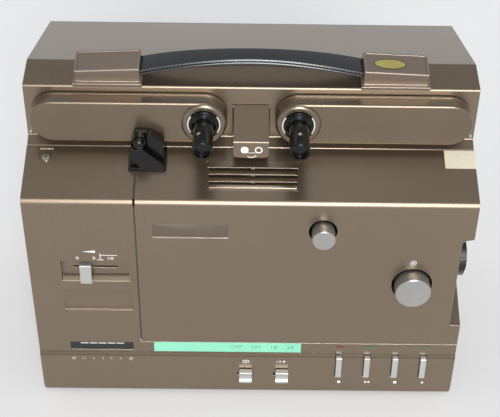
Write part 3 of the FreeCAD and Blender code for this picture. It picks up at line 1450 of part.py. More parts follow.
def volume_slider():
    """Bent tab in front of the slot, its stem through the slot, and the carriage behind."""
    slot_z = VOLUME_SLOT_Z
    low = VOLUME_Z0 - SINK
    top = low + SLIDER_H
    back = VOLUME_D - 2 * LOOSE
    inner = VOLUME_D + WALL
    tab = prism_x([
        (-SLIDER_PROUD, low, SLIDER_R),
        (-SLIDER_PROUD, top, SLIDER_R),
        (back, top, 0),
        (back, slot_z - SLIDER_SKIN, 0),
        (SLIDER_SKIN - SLIDER_PROUD, slot_z - 2 * SLIDER_SKIN, 0),
        (SLIDER_SKIN - SLIDER_PROUD, low, SLIDER_R),
    ], SLIDER_X - SLIDER_W / 2, SLIDER_X + SLIDER_W / 2)
    half = VOLUME_SLOT_H / 2 - SLIDER_FIT
    side = SLIDER_STEM_W / 2
    stem = box(SLIDER_X - side, back - SINK, slot_z - half,
               SLIDER_X + side, inner + CARRIAGE_T, slot_z + half)
    half = CARRIAGE_W / 2
    carriage = box(SLIDER_X - half, inner + LOOSE, slot_z - half,
                   SLIDER_X + half, inner + LOOSE + CARRIAGE_T, slot_z + half)
    return fuse([tab, stem, carriage])


def slide_switch(x):
    """Dished slide knob on the control strip with its stem and inner carriage."""
    low = SWITCH_Z - SWITCH_H / 2
    high = SWITCH_Z + SWITCH_H / 2
    face = strip_y(low) - LOOSE
    front = face - SWITCH_PROUD
    inner = strip_y(SWITCH_Z) + WALL + 3 * LOOSE
    knob = prism_x([
        (front, low, SWITCH_R),
        (front, high, SWITCH_R),
        (face, high, 0),
        (face, low, 0),
    ], x - SWITCH_W / 2, x + SWITCH_W / 2)
    bow = (SWITCH_H * SWITCH_DISH_SHARE / 2) ** 2 / (2 * SWITCH_DISH)
    knob = knob.cut(cyl_x(front + SWITCH_DISH - bow, SWITCH_Z + SWITCH_R, bow, x - SWITCH_W, x + SWITCH_W))
    half = SWITCH_STEM_H / 2
    side = SWITCH_STEM_W / 2
    stem = box(x - side, face - SINK, SWITCH_Z - half, x + side, inner + CARRIAGE_T, SWITCH_Z + half)
    half = CARRIAGE_W / 2
    carriage = box(x - half, inner, SWITCH_Z - half, x + half, inner + CARRIAGE_T, SWITCH_Z + half)
    return fuse([knob, stem, carriage])


def transport_key(index):
    """Upright key bar that rocks about the shaft at its head."""
    x = KEYS_X0 + index * KEYS_PITCH
    half = KEYS_W / 2
    body = prism_x([
        (strip_y(KEYS_BOTTOM) - KEYS_PROUD, KEYS_BOTTOM, KEYS_R),
        (strip_y(KEYS_TOP) - KEYS_PROUD, KEYS_TOP - KEYS_R, KEYS_R),
        (KEYS_PIVOT_Y, KEYS_TOP, KEYS_HUB_R / 2),
        (KEYS_PIVOT_Y + KEYS_HUB_R, KEYS_PIVOT_Z, KEYS_HUB_R / 2),
        (KEYS_PIVOT_Y + KEYS_SHAFT_R, KEYS_PIVOT_Z - KEYS_HUB_R, 0),
        (KEYS_PIVOT_Y - KEYS_HUB_R, KEYS_BOTTOM + KEYS_R, 0),
        (strip_y(KEYS_BOTTOM) + KEYS_TAIL_T, KEYS_BOTTOM, 0),
    ], x - half, x + half)
    return body.cut(cyl_x(KEYS_PIVOT_Y, KEYS_PIVOT_Z, KEYS_SHAFT_R + RUN, x - KEYS_W, x + KEYS_W))


def key_ends():
    """Inner faces of the two lugs that carry the key shaft."""
    last = KEYS_X0 + (len(KEY_NAMES) - 1) * KEYS_PITCH
    return KEYS_X0 - KEYS_SHAFT_REACH, last + KEYS_SHAFT_REACH


def key_shaft():
    first, last = key_ends()
    return cyl_x(KEYS_PIVOT_Y, KEYS_PIVOT_Z, KEYS_SHAFT_R, first - KEYS_SHAFT_END, last + KEYS_SHAFT_END)


def key_springs():
    """Wound return springs on the key shaft, one beside each key, as plain sleeves."""
    out = []
    inner = KEYS_SHAFT_R + SPRING_FIT
    for i in range(len(KEY_NAMES)):
        x = KEYS_X0 + i * KEYS_PITCH + KEYS_W / 2 + KEYS_CLEAR
        sleeve = cyl_x(KEYS_PIVOT_Y, KEYS_PIVOT_Z, inner + SPRING_T, x, x + SPRING_L)
        out.append(sleeve.cut(cyl_x(KEYS_PIVOT_Y, KEYS_PIVOT_Z, inner, x - 1, x + SPRING_L + 1)))
    return Part.makeCompound(out)


# Mechanism plate and film path


def mechanism_plate():
    """Upright plate behind the cover: shaft bores, lamp window and the lugs of the key shaft."""
    x = INNER_X - PLATE_SIDE_GAP
    pieces = [box(-x, PLATE_FRONT_Y, FLOOR_TOP, x, PLATE_BACK_Y, PLATE_TOP)]
    first, last = key_ends()
    for lug_x in (first - KEYS_LUG_T, last):
        pieces.append(box(lug_x, KEYS_PIVOT_Y - KEYS_LUG_FRONT, KEYS_PIVOT_Z - KEYS_LUG_DOWN,
                          lug_x + KEYS_LUG_T, PLATE_FRONT_Y + SINK, KEYS_PIVOT_Z + KEYS_LUG_UP))
    body = fuse(pieces)
    reach = KEYS_LUG_T + 1
    body = body.cut(cyl_x(KEYS_PIVOT_Y, KEYS_PIVOT_Z, KEYS_SHAFT_R + RUN, first - reach, last + reach))
    for bx, bz in ((FRAME_KNOB_X, FRAME_KNOB_Z), (FEED_X, FEED_Z), (TAKEUP_X, TAKEUP_Z), (FLY_X, FLY_Z)):
        body = body.cut(cyl_y(bx, bz, PATH_SHAFT_R + RUN, PLATE_FRONT_Y - 1, PLATE_BACK_Y + 1))
    window = box(LAMP_BOX_X0 + LAMP_WINDOW_RIM, PLATE_FRONT_Y - 1, LENS_Z - LAMP_WINDOW_HALF_H,
                 LAMP_BOX_X1 - LAMP_WINDOW_RIM, PLATE_BACK_Y + 1, LENS_Z + LAMP_WINDOW_HALF_H)
    return body.cut(window)


def sprocket(x, z, pulley_y):
    """Toothed film drum with its shaft through the plate and a grooved pulley behind."""
    y0 = FILM_Y - FILM_W / 2 - SINK
    y1 = FILM_Y + FILM_W / 2 + SINK
    p0 = pulley_y - BELT_W / 2
    p1 = pulley_y + BELT_W / 2
    nose = y0 - SPROCKET_NOSE
    body = turned_y(x, z, [
        (0, nose),
        (SPROCKET_R - 1.5 * SPROCKET_NOSE, nose),
        (SPROCKET_R - SPROCKET_NOSE, nose + SPROCKET_NOSE / 2),
        (SPROCKET_R, nose + SPROCKET_NOSE / 2),
        (SPROCKET_R, y1),
        (SPROCKET_R + SPROCKET_FLANGE, y1),
        (SPROCKET_R + SPROCKET_FLANGE, y1 + SPROCKET_FLANGE_T),
        (PATH_SHAFT_R, y1 + SPROCKET_FLANGE_T),
        (PATH_SHAFT_R, p0 - PULLEY_RIM),
        (PULLEY_R, p0 - PULLEY_RIM),
        (PULLEY_R, p0),
        (PULLEY_R - BELT_T, p0),
        (PULLEY_R - BELT_T, p1),
        (PULLEY_R, p1),
        (PULLEY_R, p1 + PULLEY_RIM),
        (0, p1 + PULLEY_RIM),
    ])
    teeth = []
    half = TOOTH_W / 2
    for i in range(SPROCKET_TEETH):
        tooth = box(x - half, y0 + half, z + SPROCKET_R - SINK, x + half, y0 + half + TOOTH_W,
                    z + SPROCKET_R + TOOTH_H)
        tooth.rotate(V(x, 0, z), V(0, 1, 0), 360.0 * i / SPROCKET_TEETH)
        teeth.append(tooth)
    return fuse([body] + teeth)


def flywheel():
    """Capstan, heavy flywheel and the two pulleys of the sprocket belts on one shaft."""
    half = BELT_W / 2
    profile = [
        (0, FILM_Y - CAPSTAN_FRONT),
        (CAPSTAN_R, FILM_Y - CAPSTAN_FRONT),
        (CAPSTAN_R, FILM_Y + CAPSTAN_BACK),
        (PATH_SHAFT_R, FILM_Y + CAPSTAN_BACK),
        (PATH_SHAFT_R, BELT_A_Y - FLY_HALF_T),
        (FLY_R, BELT_A_Y - FLY_HALF_T),
        (FLY_R, BELT_A_Y - half),
        (FLY_R - BELT_T, BELT_A_Y - half),
        (FLY_R - BELT_T, BELT_A_Y + half),
        (FLY_R, BELT_A_Y + half),
        (FLY_R, BELT_A_Y + FLY_HALF_T),
        (PATH_SHAFT_R, BELT_A_Y + FLY_HALF_T),
    ]
    for pulley_y in (BELT_B_Y, BELT_C_Y):
        profile += [
            (PATH_SHAFT_R, pulley_y - half - PULLEY_RIM),
            (PULLEY_R, pulley_y - half - PULLEY_RIM),
            (PULLEY_R, pulley_y - half),
            (PULLEY_R - BELT_T, pulley_y - half),
            (PULLEY_R - BELT_T, pulley_y + half),
            (PULLEY_R, pulley_y + half),
            (PULLEY_R, pulley_y + half + PULLEY_RIM),
            (PATH_SHAFT_R, pulley_y + half + PULLEY_RIM),
        ]
    profile.append((0, BELT_C_Y + half + PULLEY_RIM))
    return turned_y(FLY_X, FLY_Z, profile)


def pinch_place():
    """Middle of the pinch roller, beside the capstan."""
    angle = math.radians(PINCH_ANGLE)
    reach = CAPSTAN_R + PINCH_R + PINCH_GAP
    return FLY_X + reach * math.cos(angle), FLY_Z + reach * math.sin(angle)


def pinch_roller():
    """Rubber roller that presses the film on the capstan, on a pin from the plate."""
    x, z = pinch_place()
    y0 = FILM_Y - PINCH_HALF_L
    y1 = FILM_Y + PINCH_HALF_L
    return turned_y(x, z, [
        (ROLLER_PIN_R + RUN, y0),
        (PINCH_R - PINCH_EDGE, y0),
        (PINCH_R, y0 + PINCH_EDGE),
        (PINCH_R, y1 - PINCH_EDGE),
        (PINCH_R - PINCH_EDGE, y1),
        (ROLLER_PIN_R + RUN, y1),
    ])


def sound_head():
    """Head block beside the capstan and the pin of the pinch roller, on one base."""
    x, z = pinch_place()
    x0 = FLY_X + HEAD_TO_CAPSTAN
    x1 = x0 + HEAD_W
    y0 = FILM_Y - HEAD_FRONT
    y1 = FILM_Y + HEAD_BASE_Y
    base = box(x0 - HEAD_BASE_IN, y1, FLY_Z - HEAD_BASE_H / 2, x1, PLATE_FRONT_Y, FLY_Z + HEAD_BASE_H / 2)
    block = box(x0, y0, FLY_Z - HEAD_H / 2, x1, y1 + SINK, FLY_Z + HEAD_H / 2)
    block = rounded(block, HEAD_R, lambda ex, ey, ez: near(ex, x0) and near(2 * ey, y0 + y1 + SINK))
    pin = cyl_y(x, z, ROLLER_PIN_R, FILM_Y - PINCH_HALF_L - 1, PLATE_FRONT_Y)
    collar = cyl_y(x, z, ROLLER_PIN_R + PINCH_COLLAR, FILM_Y + PINCH_HALF_L + LOOSE, PLATE_FRONT_Y)
    return Part.makeCompound([fuse([base, block]), fuse([pin, collar])])


def film_channel():
    """Trough that leads the film from the guide to the feed sprocket, on two lugs."""
    half = FILM_W / 2 + CHANNEL_GAP
    outer = half + CHANNEL_WALL
    x0 = GUIDE_X1 + CHANNEL_TO_GUIDE
    x1 = FEED_X - SPROCKET_R - CHANNEL_TO_DRUM
    z = LAMP_BOX_Z1 + CHANNEL_OVER_LAMP
    trough = box(x0, FILM_Y - outer, z, x1, FILM_Y + outer, z + CHANNEL_H)
    groove = box(x0 - 1, FILM_Y - half, z + CHANNEL_FLOOR, x1 + 1, FILM_Y + half, z + CHANNEL_H + 1)
    pieces = [trough.cut(groove)]
    for x in (x0 + CHANNEL_LUG_H, x1 - CHANNEL_LUG_H - CHANNEL_LUG_W):
        pieces.append(box(x, FILM_Y + outer - SINK, z, x + CHANNEL_LUG_W, PLATE_FRONT_Y, z + CHANNEL_LUG_H))
    return fuse(pieces)


def lamp_house():
    """Sheet metal box round the lamp: louvred top, light port and the cradle of the reflector."""
    t = LAMP_BOX_T
    x0, x1, z0, z1, y0 = LAMP_BOX_X0, LAMP_BOX_X1, LAMP_BOX_Z0, LAMP_BOX_Z1, LAMP_BOX_Y0
    body = box(x0, y0, z0, x1, PLATE_FRONT_Y, z1)
    body = body.cut(box(x0 + t, y0 + t, z0 - 1, x1 - t, PLATE_FRONT_Y + 1, z1 - t))
    for i in range(LOUVRES):
        x = x0 + LOUVRE_END + i * LOUVRE_PITCH
        body = body.cut(box(x, y0 + LOUVRE_SIDE, z1 - 2 * t,
                            x + LOUVRE_W, PLATE_FRONT_Y - LOUVRE_SIDE, z1 + 1))
    body = body.cut(cyl_x(LENS_Y, LENS_Z, LAMP_PORT_R, x1 - 2 * t, x1 + 1))
    rim = LAMP_X + CRADLE_X
    cradle = box(rim, y0 + SINK, LENS_Z - CRADLE_HALF_H, rim + t, PLATE_FRONT_Y, LENS_Z + CRADLE_HALF_H)
    cradle = cradle.cut(cyl_x(LENS_Y, LENS_Z, LAMP_REFLECTOR_R - CRADLE_LIP, rim - 1, rim + t + 1))
    return fuse([body, cradle])


def projection_lamp():
    """Reflector lamp facing the gate: bowl, neck, base and the bulb capsule inside."""
    rim = LAMP_X + CRADLE_X
    r = LAMP_REFLECTOR_R - LAMP_INSET
    bulb_r = LAMP_BULB_R + LAMP_INSET
    return turned_x(LENS_Y, LENS_Z, [
        (rim, r),
        (rim - LAMP_BELLY_L, r - LAMP_BELLY),
        (rim - LAMP_BOWL_L, LAMP_THROAT_R),
        (rim - LAMP_L, LAMP_NECK_R),
        (rim - LAMP_L, 0),
        (rim - LAMP_BACK_L, 0),
        (rim - LAMP_BACK_L, LAMP_BULB_R),
        (rim - 2 * LAMP_BULB_L, LAMP_BULB_R),
        (rim - LAMP_BULB_L, LAMP_BULB_R / 2),
        (rim - LAMP_BULB_L, 0),
        (rim - LAMP_BULB_L + 0.5 * LAMP_INSET, 0),
        (rim - LAMP_BULB_L + 0.5 * LAMP_INSET, bulb_r / 2),
        (rim - 2 * LAMP_BULB_L + 0.5 * LAMP_INSET, bulb_r),
        (rim - LAMP_BOWL_L + 2 * LAMP_INSET, bulb_r),
        (rim - LAMP_BELLY_L + LAMP_INSET, r - LAMP_BELLY - LAMP_GLASS_T),
        (rim, r - LAMP_GLASS_T),
    ])


def film_gate():
    """Aperture plate, side rails and pressure plate, open for the film from top to bottom."""
    x = GATE_X
    near_x = GATE_HALF_GAP
    far_x = GATE_HALF_GAP + GATE_T
    half = FILM_W / 2 + RAIL_FIT
    y0 = FILM_Y - half
    y1 = FILM_Y + half
    z0 = GATE_Z0 + GATE_SHORT
    z1 = GATE_Z1 - GATE_SHORT
    pieces = [
        box(x + near_x, y0 - GATE_FRONT, GATE_Z0, x + far_x, PLATE_FRONT_Y, GATE_Z1),
        box(x - far_x, y0 - GATE_SIDE, z0, x - near_x, y1 + GATE_SIDE, z1),
    ]
    for a, b in ((y0 - GATE_SIDE, y0), (y1, y1 + GATE_SIDE)):
        pieces.append(box(x - near_x - RAIL_FIT, a, z0, x + near_x + RAIL_FIT, b, z1))
    aperture = box(x - far_x - 1, FILM_Y - APERTURE_W / 2, LENS_Z - APERTURE_H / 2,
                   x + far_x + 1, FILM_Y + APERTURE_W / 2, LENS_Z + APERTURE_H / 2)
    return fuse(pieces).cut(aperture)


# Lens


def lens_holder():
    """Bored block that the lens slides in, with its flange plate and the focus shaft boss."""
    half = HOLDER_FOOT_H / 2
    tube = cyl_x(LENS_Y, LENS_Z, HOLDER_R, HOLDER_X0, HOLDER_X1)
    foot = box(HOLDER_X0, LENS_Y, LENS_Z - half, HOLDER_X1, PLATE_FRONT_Y, LENS_Z + half)
    flange = box(HOLDER_X1 - HOLDER_FLANGE_T, WALL + HOLDER_FLANGE_GAP, NOTCH_Z0 + 1,
                 HOLDER_X1, PLATE_FRONT_Y, NOTCH_Z1 + 1)
    boss_y = LENS_Y - HOLDER_R
    boss = cyl_y(FOCUS_KNOB_X, FOCUS_KNOB_Z, KNOB_SHAFT_R + BOSS_WALL, boss_y, boss_y + BOSS_L)
    body = fuse([tube, foot, flange, boss])
    body = body.cut(cyl_x(LENS_Y, LENS_Z, LENS_R + RUN, HOLDER_X0 - 1, HOLDER_X1 + 1))
    bearing = cyl_y(FOCUS_KNOB_X, FOCUS_KNOB_Z, KNOB_SHAFT_R + RUN, boss_y - 1, boss_y + FOCUS_BEARING)
    body = body.cut(bearing)
    drive_y = PINION_Y1 + LOOSE
    rack_z = FOCUS_KNOB_Z + RACK_SLOT_UP
    body = body.cut(box(HOLDER_X0 - 1, WALL, rack_z, HOLDER_X1 + 1, drive_y, rack_z + RACK_SLOT_H))
    return body.cut(cyl_y(FOCUS_KNOB_X, FOCUS_KNOB_Z, PINION_R + PINION_CLEAR, WALL, drive_y))


def lens_barrel():
    """Sliding lens tube, stepped for the zoom ring, with the focus rack on its arm."""
    seat_x0 = ZOOM_X0 - LOOSE
    seat_x1 = ZOOM_X1 + LOOSE
    seat_r = LENS_R - ZOOM_SEAT
    glass_x = BARREL_X1 - GLASS_IN
    tube = turned_x(LENS_Y, LENS_Z, [
        (BARREL_X0, LENS_R - LENS_TUBE_T),
        (BARREL_X0, LENS_R),
        (seat_x0, LENS_R),
        (seat_x0, seat_r),
        (seat_x1, seat_r),
        (seat_x1, LENS_R + BARREL_LIP),
        (BARREL_X1, LENS_R + BARREL_LIP),
        (BARREL_X1, GLASS_R + BARREL_MOUTH),
        (BARREL_X1 - BARREL_MOUTH_L, GLASS_R + GLASS_FIT),
        (glass_x, GLASS_R + GLASS_FIT),
        (glass_x, LENS_R - LENS_TUBE_T),
    ])
    half = RACK_LUG_H / 2
    lug = box(RACK_LUG_X0, PINION_Y0, LENS_Z - half,
              RACK_LUG_X0 + RACK_LUG_W, LENS_Y - seat_r, LENS_Z + half)
    return fuse([tube, lug, focus_rack()])


def lens_glass():
    """Front element seated on the shoulder of the tube."""
    back = BARREL_X1 - GLASS_IN
    return cyl_x(LENS_Y, LENS_Z, GLASS_R, back, back + GLASS_T)


def zoom_ring():
    """Ribbed ring that turns on the front of the lens tube."""
    step = 2 * math.pi / ZOOM_RIBS
    valley = ZOOM_R - ZOOM_RIB_H
    corners = []
    for i in range(ZOOM_RIBS):
        for share, r in ((0.0, valley), (0.42, valley), (0.52, ZOOM_R), (0.9, ZOOM_R)):
            a = (i + share) * step
            corners.append(V(ZOOM_X0, LENS_Y + r * math.cos(a), LENS_Z + r * math.sin(a)))
    body = Part.Face(Part.makePolygon(corners + corners[:1])).extrude(V(ZOOM_X1 - ZOOM_X0, 0, 0))
    return body.cut(cyl_x(LENS_Y, LENS_Z, LENS_R - ZOOM_SEAT + RUN, ZOOM_X0 - 1, ZOOM_X1 + 1))


# Drive and electrics


def belt_loop(x0, z0, r0, x1, z1, r1, y):
    """Flat belt round two pulleys, a small running gap off their grooves."""
    r0 = r0 - BELT_T + LOOSE
    r1 = r1 - BELT_T + LOOSE
    thick = BELT_T * BELT_SHARE
    half = BELT_W / 2 - LOOSE
    outer = belt_body(x0, z0, r0 + thick, x1, z1, r1 + thick, y - half, y + half)
    return outer.cut(belt_body(x0, z0, r0, x1, z1, r1, y - BELT_W, y + BELT_W))


def belt_body(x0, z0, r0, x1, z1, r1, y0, y1):
    """Outline of two circles and their outer tangents."""
    run = math.hypot(x1 - x0, z1 - z0)
    along = math.atan2(z1 - z0, x1 - x0)
    tilt = math.acos((r0 - r1) / run)
    up = along + tilt
    down = along - tilt
    def at(cx, cz, r, a):
        return V(cx + r * math.cos(a), y0, cz + r * math.sin(a))
    edges = [
        Part.Arc(at(x0, z0, r0, up), at(x0, z0, r0, along + math.pi), at(x0, z0, r0, down)).toShape(),
        Part.LineSegment(at(x0, z0, r0, down), at(x1, z1, r1, down)).toShape(),
        Part.Arc(at(x1, z1, r1, down), at(x1, z1, r1, along), at(x1, z1, r1, up)).toShape(),
        Part.LineSegment(at(x1, z1, r1, up), at(x0, z0, r0, up)).toShape(),
    ]
    return Part.Face(Part.Wire(edges)).extrude(V(0, y1 - y0, 0))


def drive_belts():
    """Motor to flywheel, flywheel to feed sprocket, flywheel to take-up sprocket."""
    return Part.makeCompound([
        belt_loop(MOTOR_X, MOTOR_Z, PULLEY_R, FLY_X, FLY_Z, FLY_R, BELT_A_Y),
        belt_loop(FLY_X, FLY_Z, PULLEY_R, FEED_X, FEED_Z, PULLEY_R, BELT_B_Y),
        belt_loop(FLY_X, FLY_Z, PULLEY_R, TAKEUP_X, TAKEUP_Z, PULLEY_R, BELT_C_Y),
    ])


def motor():
    """Motor can on a round flange, held off the plate by posts."""
    flange_y = MOTOR_Y0 - MOTOR_FLANGE_T
    pieces = [
        cyl_y(MOTOR_X, MOTOR_Z, MOTOR_R, MOTOR_Y0 - SINK, MOTOR_Y1),
        cyl_y(MOTOR_X, MOTOR_Z, MOTOR_FLANGE_R, flange_y, MOTOR_Y0),
    ]
    for angle in MOTOR_POST_ANGLES:
        x = MOTOR_X + MOTOR_POST_CIRCLE * math.cos(math.radians(angle))
        z = MOTOR_Z + MOTOR_POST_CIRCLE * math.sin(math.radians(angle))
        pieces.append(cyl_y(x, z, MOTOR_POST_R, PLATE_BACK_Y, flange_y + SINK))
    bore = cyl_y(MOTOR_X, MOTOR_Z, PATH_SHAFT_R + RUN, flange_y - 1, MOTOR_Y0 + MOTOR_BORE_L)
    return fuse(pieces).cut(bore)


def motor_fan():
    """Motor shaft with the belt pulley and the blower wheel."""
    p0 = BELT_A_Y - BELT_W / 2
    p1 = BELT_A_Y + BELT_W / 2
    shaft_end = MOTOR_Y0 + MOTOR_SHAFT_IN
    pieces = [turned_y(MOTOR_X, MOTOR_Z, [
        (0, p0 - MOTOR_PULLEY_NOSE),
        (PULLEY_R, p0 - MOTOR_PULLEY_NOSE),
        (PULLEY_R, p0),
        (PULLEY_R - BELT_T, p0),
        (PULLEY_R - BELT_T, p1),
        (PULLEY_R, p1),
        (PULLEY_R, p1 + PULLEY_RIM),
        (PATH_SHAFT_R, p1 + PULLEY_RIM),
        (PATH_SHAFT_R, FAN_Y0),
        (FAN_HUB_R, FAN_Y0),
        (FAN_HUB_R, FAN_Y1 - FAN_DISC_T),
        (FAN_R, FAN_Y1 - FAN_DISC_T),
        (FAN_R, FAN_Y1),
        (PATH_SHAFT_R, FAN_Y1),
        (PATH_SHAFT_R, shaft_end),
        (0, shaft_end),
    ])]
    half = FAN_BLADE_T / 2
    for i in range(FAN_BLADES):
        blade = box(MOTOR_X + FAN_HUB_R - SINK, FAN_Y0, MOTOR_Z - half,
                    MOTOR_X + FAN_R - SINK, FAN_Y1 - FAN_DISC_T + SINK, MOTOR_Z + half)
        blade.rotate(V(MOTOR_X, 0, MOTOR_Z), V(0, 1, 0), 360.0 * i / FAN_BLADES)
        pieces.append(blade)
    return fuse(pieces)


def transformer():
    """Laminated core with a wound bobbin through it, standing on the floor."""
    x1 = TRANSFORMER_X1
    x0 = x1 - TRANSFORMER_W
    y1 = TRANSFORMER_Y1
    y0 = y1 - TRANSFORMER_L
    top = FLOOR_TOP + TRANSFORMER_H
    core = box(x0, y0 + BOBBIN_OUT, FLOOR_TOP, x1, y1 - BOBBIN_OUT, top)
    bobbin = box(x0 + BOBBIN_SIDE, y0, FLOOR_TOP + BOBBIN_DOWN, x1 - BOBBIN_SIDE, y1, top - BOBBIN_DOWN)
    bobbin = rounded(bobbin, BOBBIN_R, lambda x, y, z: near(2 * y, y0 + y1))
    return fuse([core, bobbin])


def circuit_board():
    """Amplifier board on four spacers, with its heat sink and two large capacitors."""
    top = BOARD_Z + BOARD_T
    pieces = [box(BOARD_X0, BOARD_Y0, BOARD_Z, BOARD_X1, BOARD_Y1, top)]
    for x in (BOARD_X0 + SPACER_INSET, BOARD_X1 - SPACER_INSET):
        for y in (BOARD_Y0 + SPACER_INSET, BOARD_Y1 - SPACER_INSET):
            pieces.append(cyl_z(x, y, SPACER_R, FLOOR_TOP, BOARD_Z + SINK))
    y = BOARD_Y0 + HEATSINK_Y
    for i in range(HEATSINK_FINS):
        x = BOARD_X0 + HEATSINK_X + i * HEATSINK_PITCH
        pieces.append(box(x, y, top - SINK, x + HEATSINK_FIN_T, y + HEATSINK_L, top + HEATSINK_H))
    for i in range(2):
        y = BOARD_Y0 + CAPACITOR_INSET + i * CAPACITOR_PITCH
        pieces.append(cyl_z(BOARD_X1 - CAPACITOR_INSET, y, CAPACITOR_R, top - SINK, top + CAPACITOR_H))
    return fuse(pieces)


def speaker():
    """Loudspeaker on the inside of the back plate: frame, cone and magnet."""
    y = REAR_Y
    cone_r = SPEAKER_R - SPEAKER_RIM
    return turned_y(SPEAKER_X, SPEAKER_Z, [
        (0, y - SPEAKER_CONE_D),
        (SPEAKER_CONE_R, y - SPEAKER_CONE_D),
        (cone_r, y - SPEAKER_FRAME_D),
        (cone_r, y),
        (SPEAKER_R, y),
        (SPEAKER_R, y - SPEAKER_FRAME_D - SPEAKER_SHEET),
        (cone_r - SPEAKER_SHEET, y - 2 * SPEAKER_FRAME_D),
        (SPEAKER_MAGNET_R, y - SPEAKER_BASKET_D),
        (SPEAKER_MAGNET_R, y - SPEAKER_MAGNET_D),
        (0, y - SPEAKER_MAGNET_D),
    ])


def mains_inlet():
    """Two-pin appliance inlet in the back plate."""
    z0 = INLET_Z - INLET_H / 2
    z1 = INLET_Z + INLET_H / 2
    x0 = INLET_X - INLET_W / 2
    x1 = INLET_X + INLET_W / 2
    end = CASE_D + SOCKET_PROUD
    w = INLET_WALL
    r = INLET_CORNER_R
    body = box(x0, REAR_Y - INLET_L, z0, x1, CASE_D, z1)
    flange = box(x0 - INLET_FLANGE_X, CASE_D, z0 - INLET_FLANGE_Z,
                 x1 + INLET_FLANGE_X, end, z1 + INLET_FLANGE_Z)
    cavity = prism_y([
        (x0 + w, z0 + w, r),
        (x1 - w, z0 + w, r),
        (x1 - w, z1 - w, r),
        (x0 + w, z1 - w, r),
    ], CASE_D - INLET_D, end + 1)
    pieces = [fuse([body, flange]).cut(cavity)]
    pin_y = CASE_D - INLET_PIN_DOWN
    for side in (-1, 1):
        x = INLET_X + side * INLET_PIN_HALF
        pieces.append(cyl_y(x, INLET_Z, INLET_PIN_R, pin_y - INLET_PIN_L, pin_y))
    return fuse(pieces)


def audio_sockets():
    """Round connector sockets in the back plate."""
    out = []
    end = CASE_D + SOCKET_PROUD
    bore = SOCKET_R - SOCKET_WALL
    for i in range(SOCKET_COUNT):
        out.append(turned_y(SOCKET_X0 + i * SOCKET_PITCH, SOCKET_Z, [
            (0, REAR_Y - SOCKET_L),
            (SOCKET_R, REAR_Y - SOCKET_L),
            (SOCKET_R, CASE_D),
            (SOCKET_R + SOCKET_FLANGE, CASE_D),
            (SOCKET_R + SOCKET_FLANGE - SOCKET_TAPER, end),
            (bore, end),
            (bore, CASE_D - SOCKET_D),
            (0, CASE_D - SOCKET_D),
        ]))
    return Part.makeCompound(out)


def build():
    os.makedirs("parts", exist_ok=True)
    case = case_solid()
    shell = case.cut(hollow())
    export("main_housing", main_housing(shell))
    export("front_frame", front_frame(shell))
    export("control_strip", control_strip(shell))
    export("rear_cover", rear_cover(case))
    export("base_plate", base_plate())
    export("feet", feet())
    export("level_window", level_window())
    export("housing_screws", housing_screws())
    export("handle_mounts", handle_mounts())
    export("handle_caps", handle_caps())
    export("handle_strap", handle_strap())
    export("arm_bushes", arm_bushes())
    for side, name in ((-1, "left"), (1, "right")):
        export("arm_" + name, arm_shell(side))
        export("arm_back_" + name, arm_back(side))
        export("arm_ring_" + name, arm_ring(side))
        export("spindle_" + name, spindle(side, name))
        export("spindle_ball_" + name, spindle_ball(side, name))
    export("rewind_key", rewind_key())
    export("film_guide", film_guide())
    export("guide_roller", guide_roller())
    export("front_cover", front_cover(shell))
    export("vent_grille", vent_grille())
    export("framing_knob", framing_knob())
    export("focus_knob", focus_knob())
    export("volume_slider", volume_slider())
    export("effects_switch", slide_switch(SWITCH_X[0]))
    export("speed_switch", slide_switch(SWITCH_X[1]))
    for index, name in enumerate(KEY_NAMES):
        export(name, transport_key(index))
    export("key_shaft", key_shaft())
    export("key_springs", key_springs())
    export("mechanism_plate", mechanism_plate())
    export("feed_sprocket", sprocket(FEED_X, FEED_Z, BELT_B_Y))
    export("takeup_sprocket", sprocket(TAKEUP_X, TAKEUP_Z, BELT_C_Y))
    export("flywheel", flywheel())
    export("pinch_roller", pinch_roller())
    export("sound_head", sound_head())
    export("film_channel", film_channel())
    export("lamp_house", lamp_house())
    export("projection_lamp", projection_lamp())
    export("film_gate", film_gate())
    export("lens_holder", lens_holder())
    export("lens_barrel", lens_barrel())
    export("lens_glass", lens_glass())
    export("zoom_ring", zoom_ring())
    export("drive_belts", drive_belts())
    export("motor", motor())
    export("motor_fan", motor_fan())
    export("transformer", transformer())
    export("circuit_board", circuit_board())
    export("speaker", speaker())
    export("mains_inlet", mains_inlet())
    export("audio_sockets", audio_sockets())


build()
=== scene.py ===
"""Super 8 sound projector: the finishes, leather handle strap, printing and small trim.

Lengths are metres, and millimetres where a value is multiplied by MM. X runs along the front
towards the lens, Y runs back and Z runs up.
"""
import json
import math

import bpy
from mathutils import Matrix, Vector


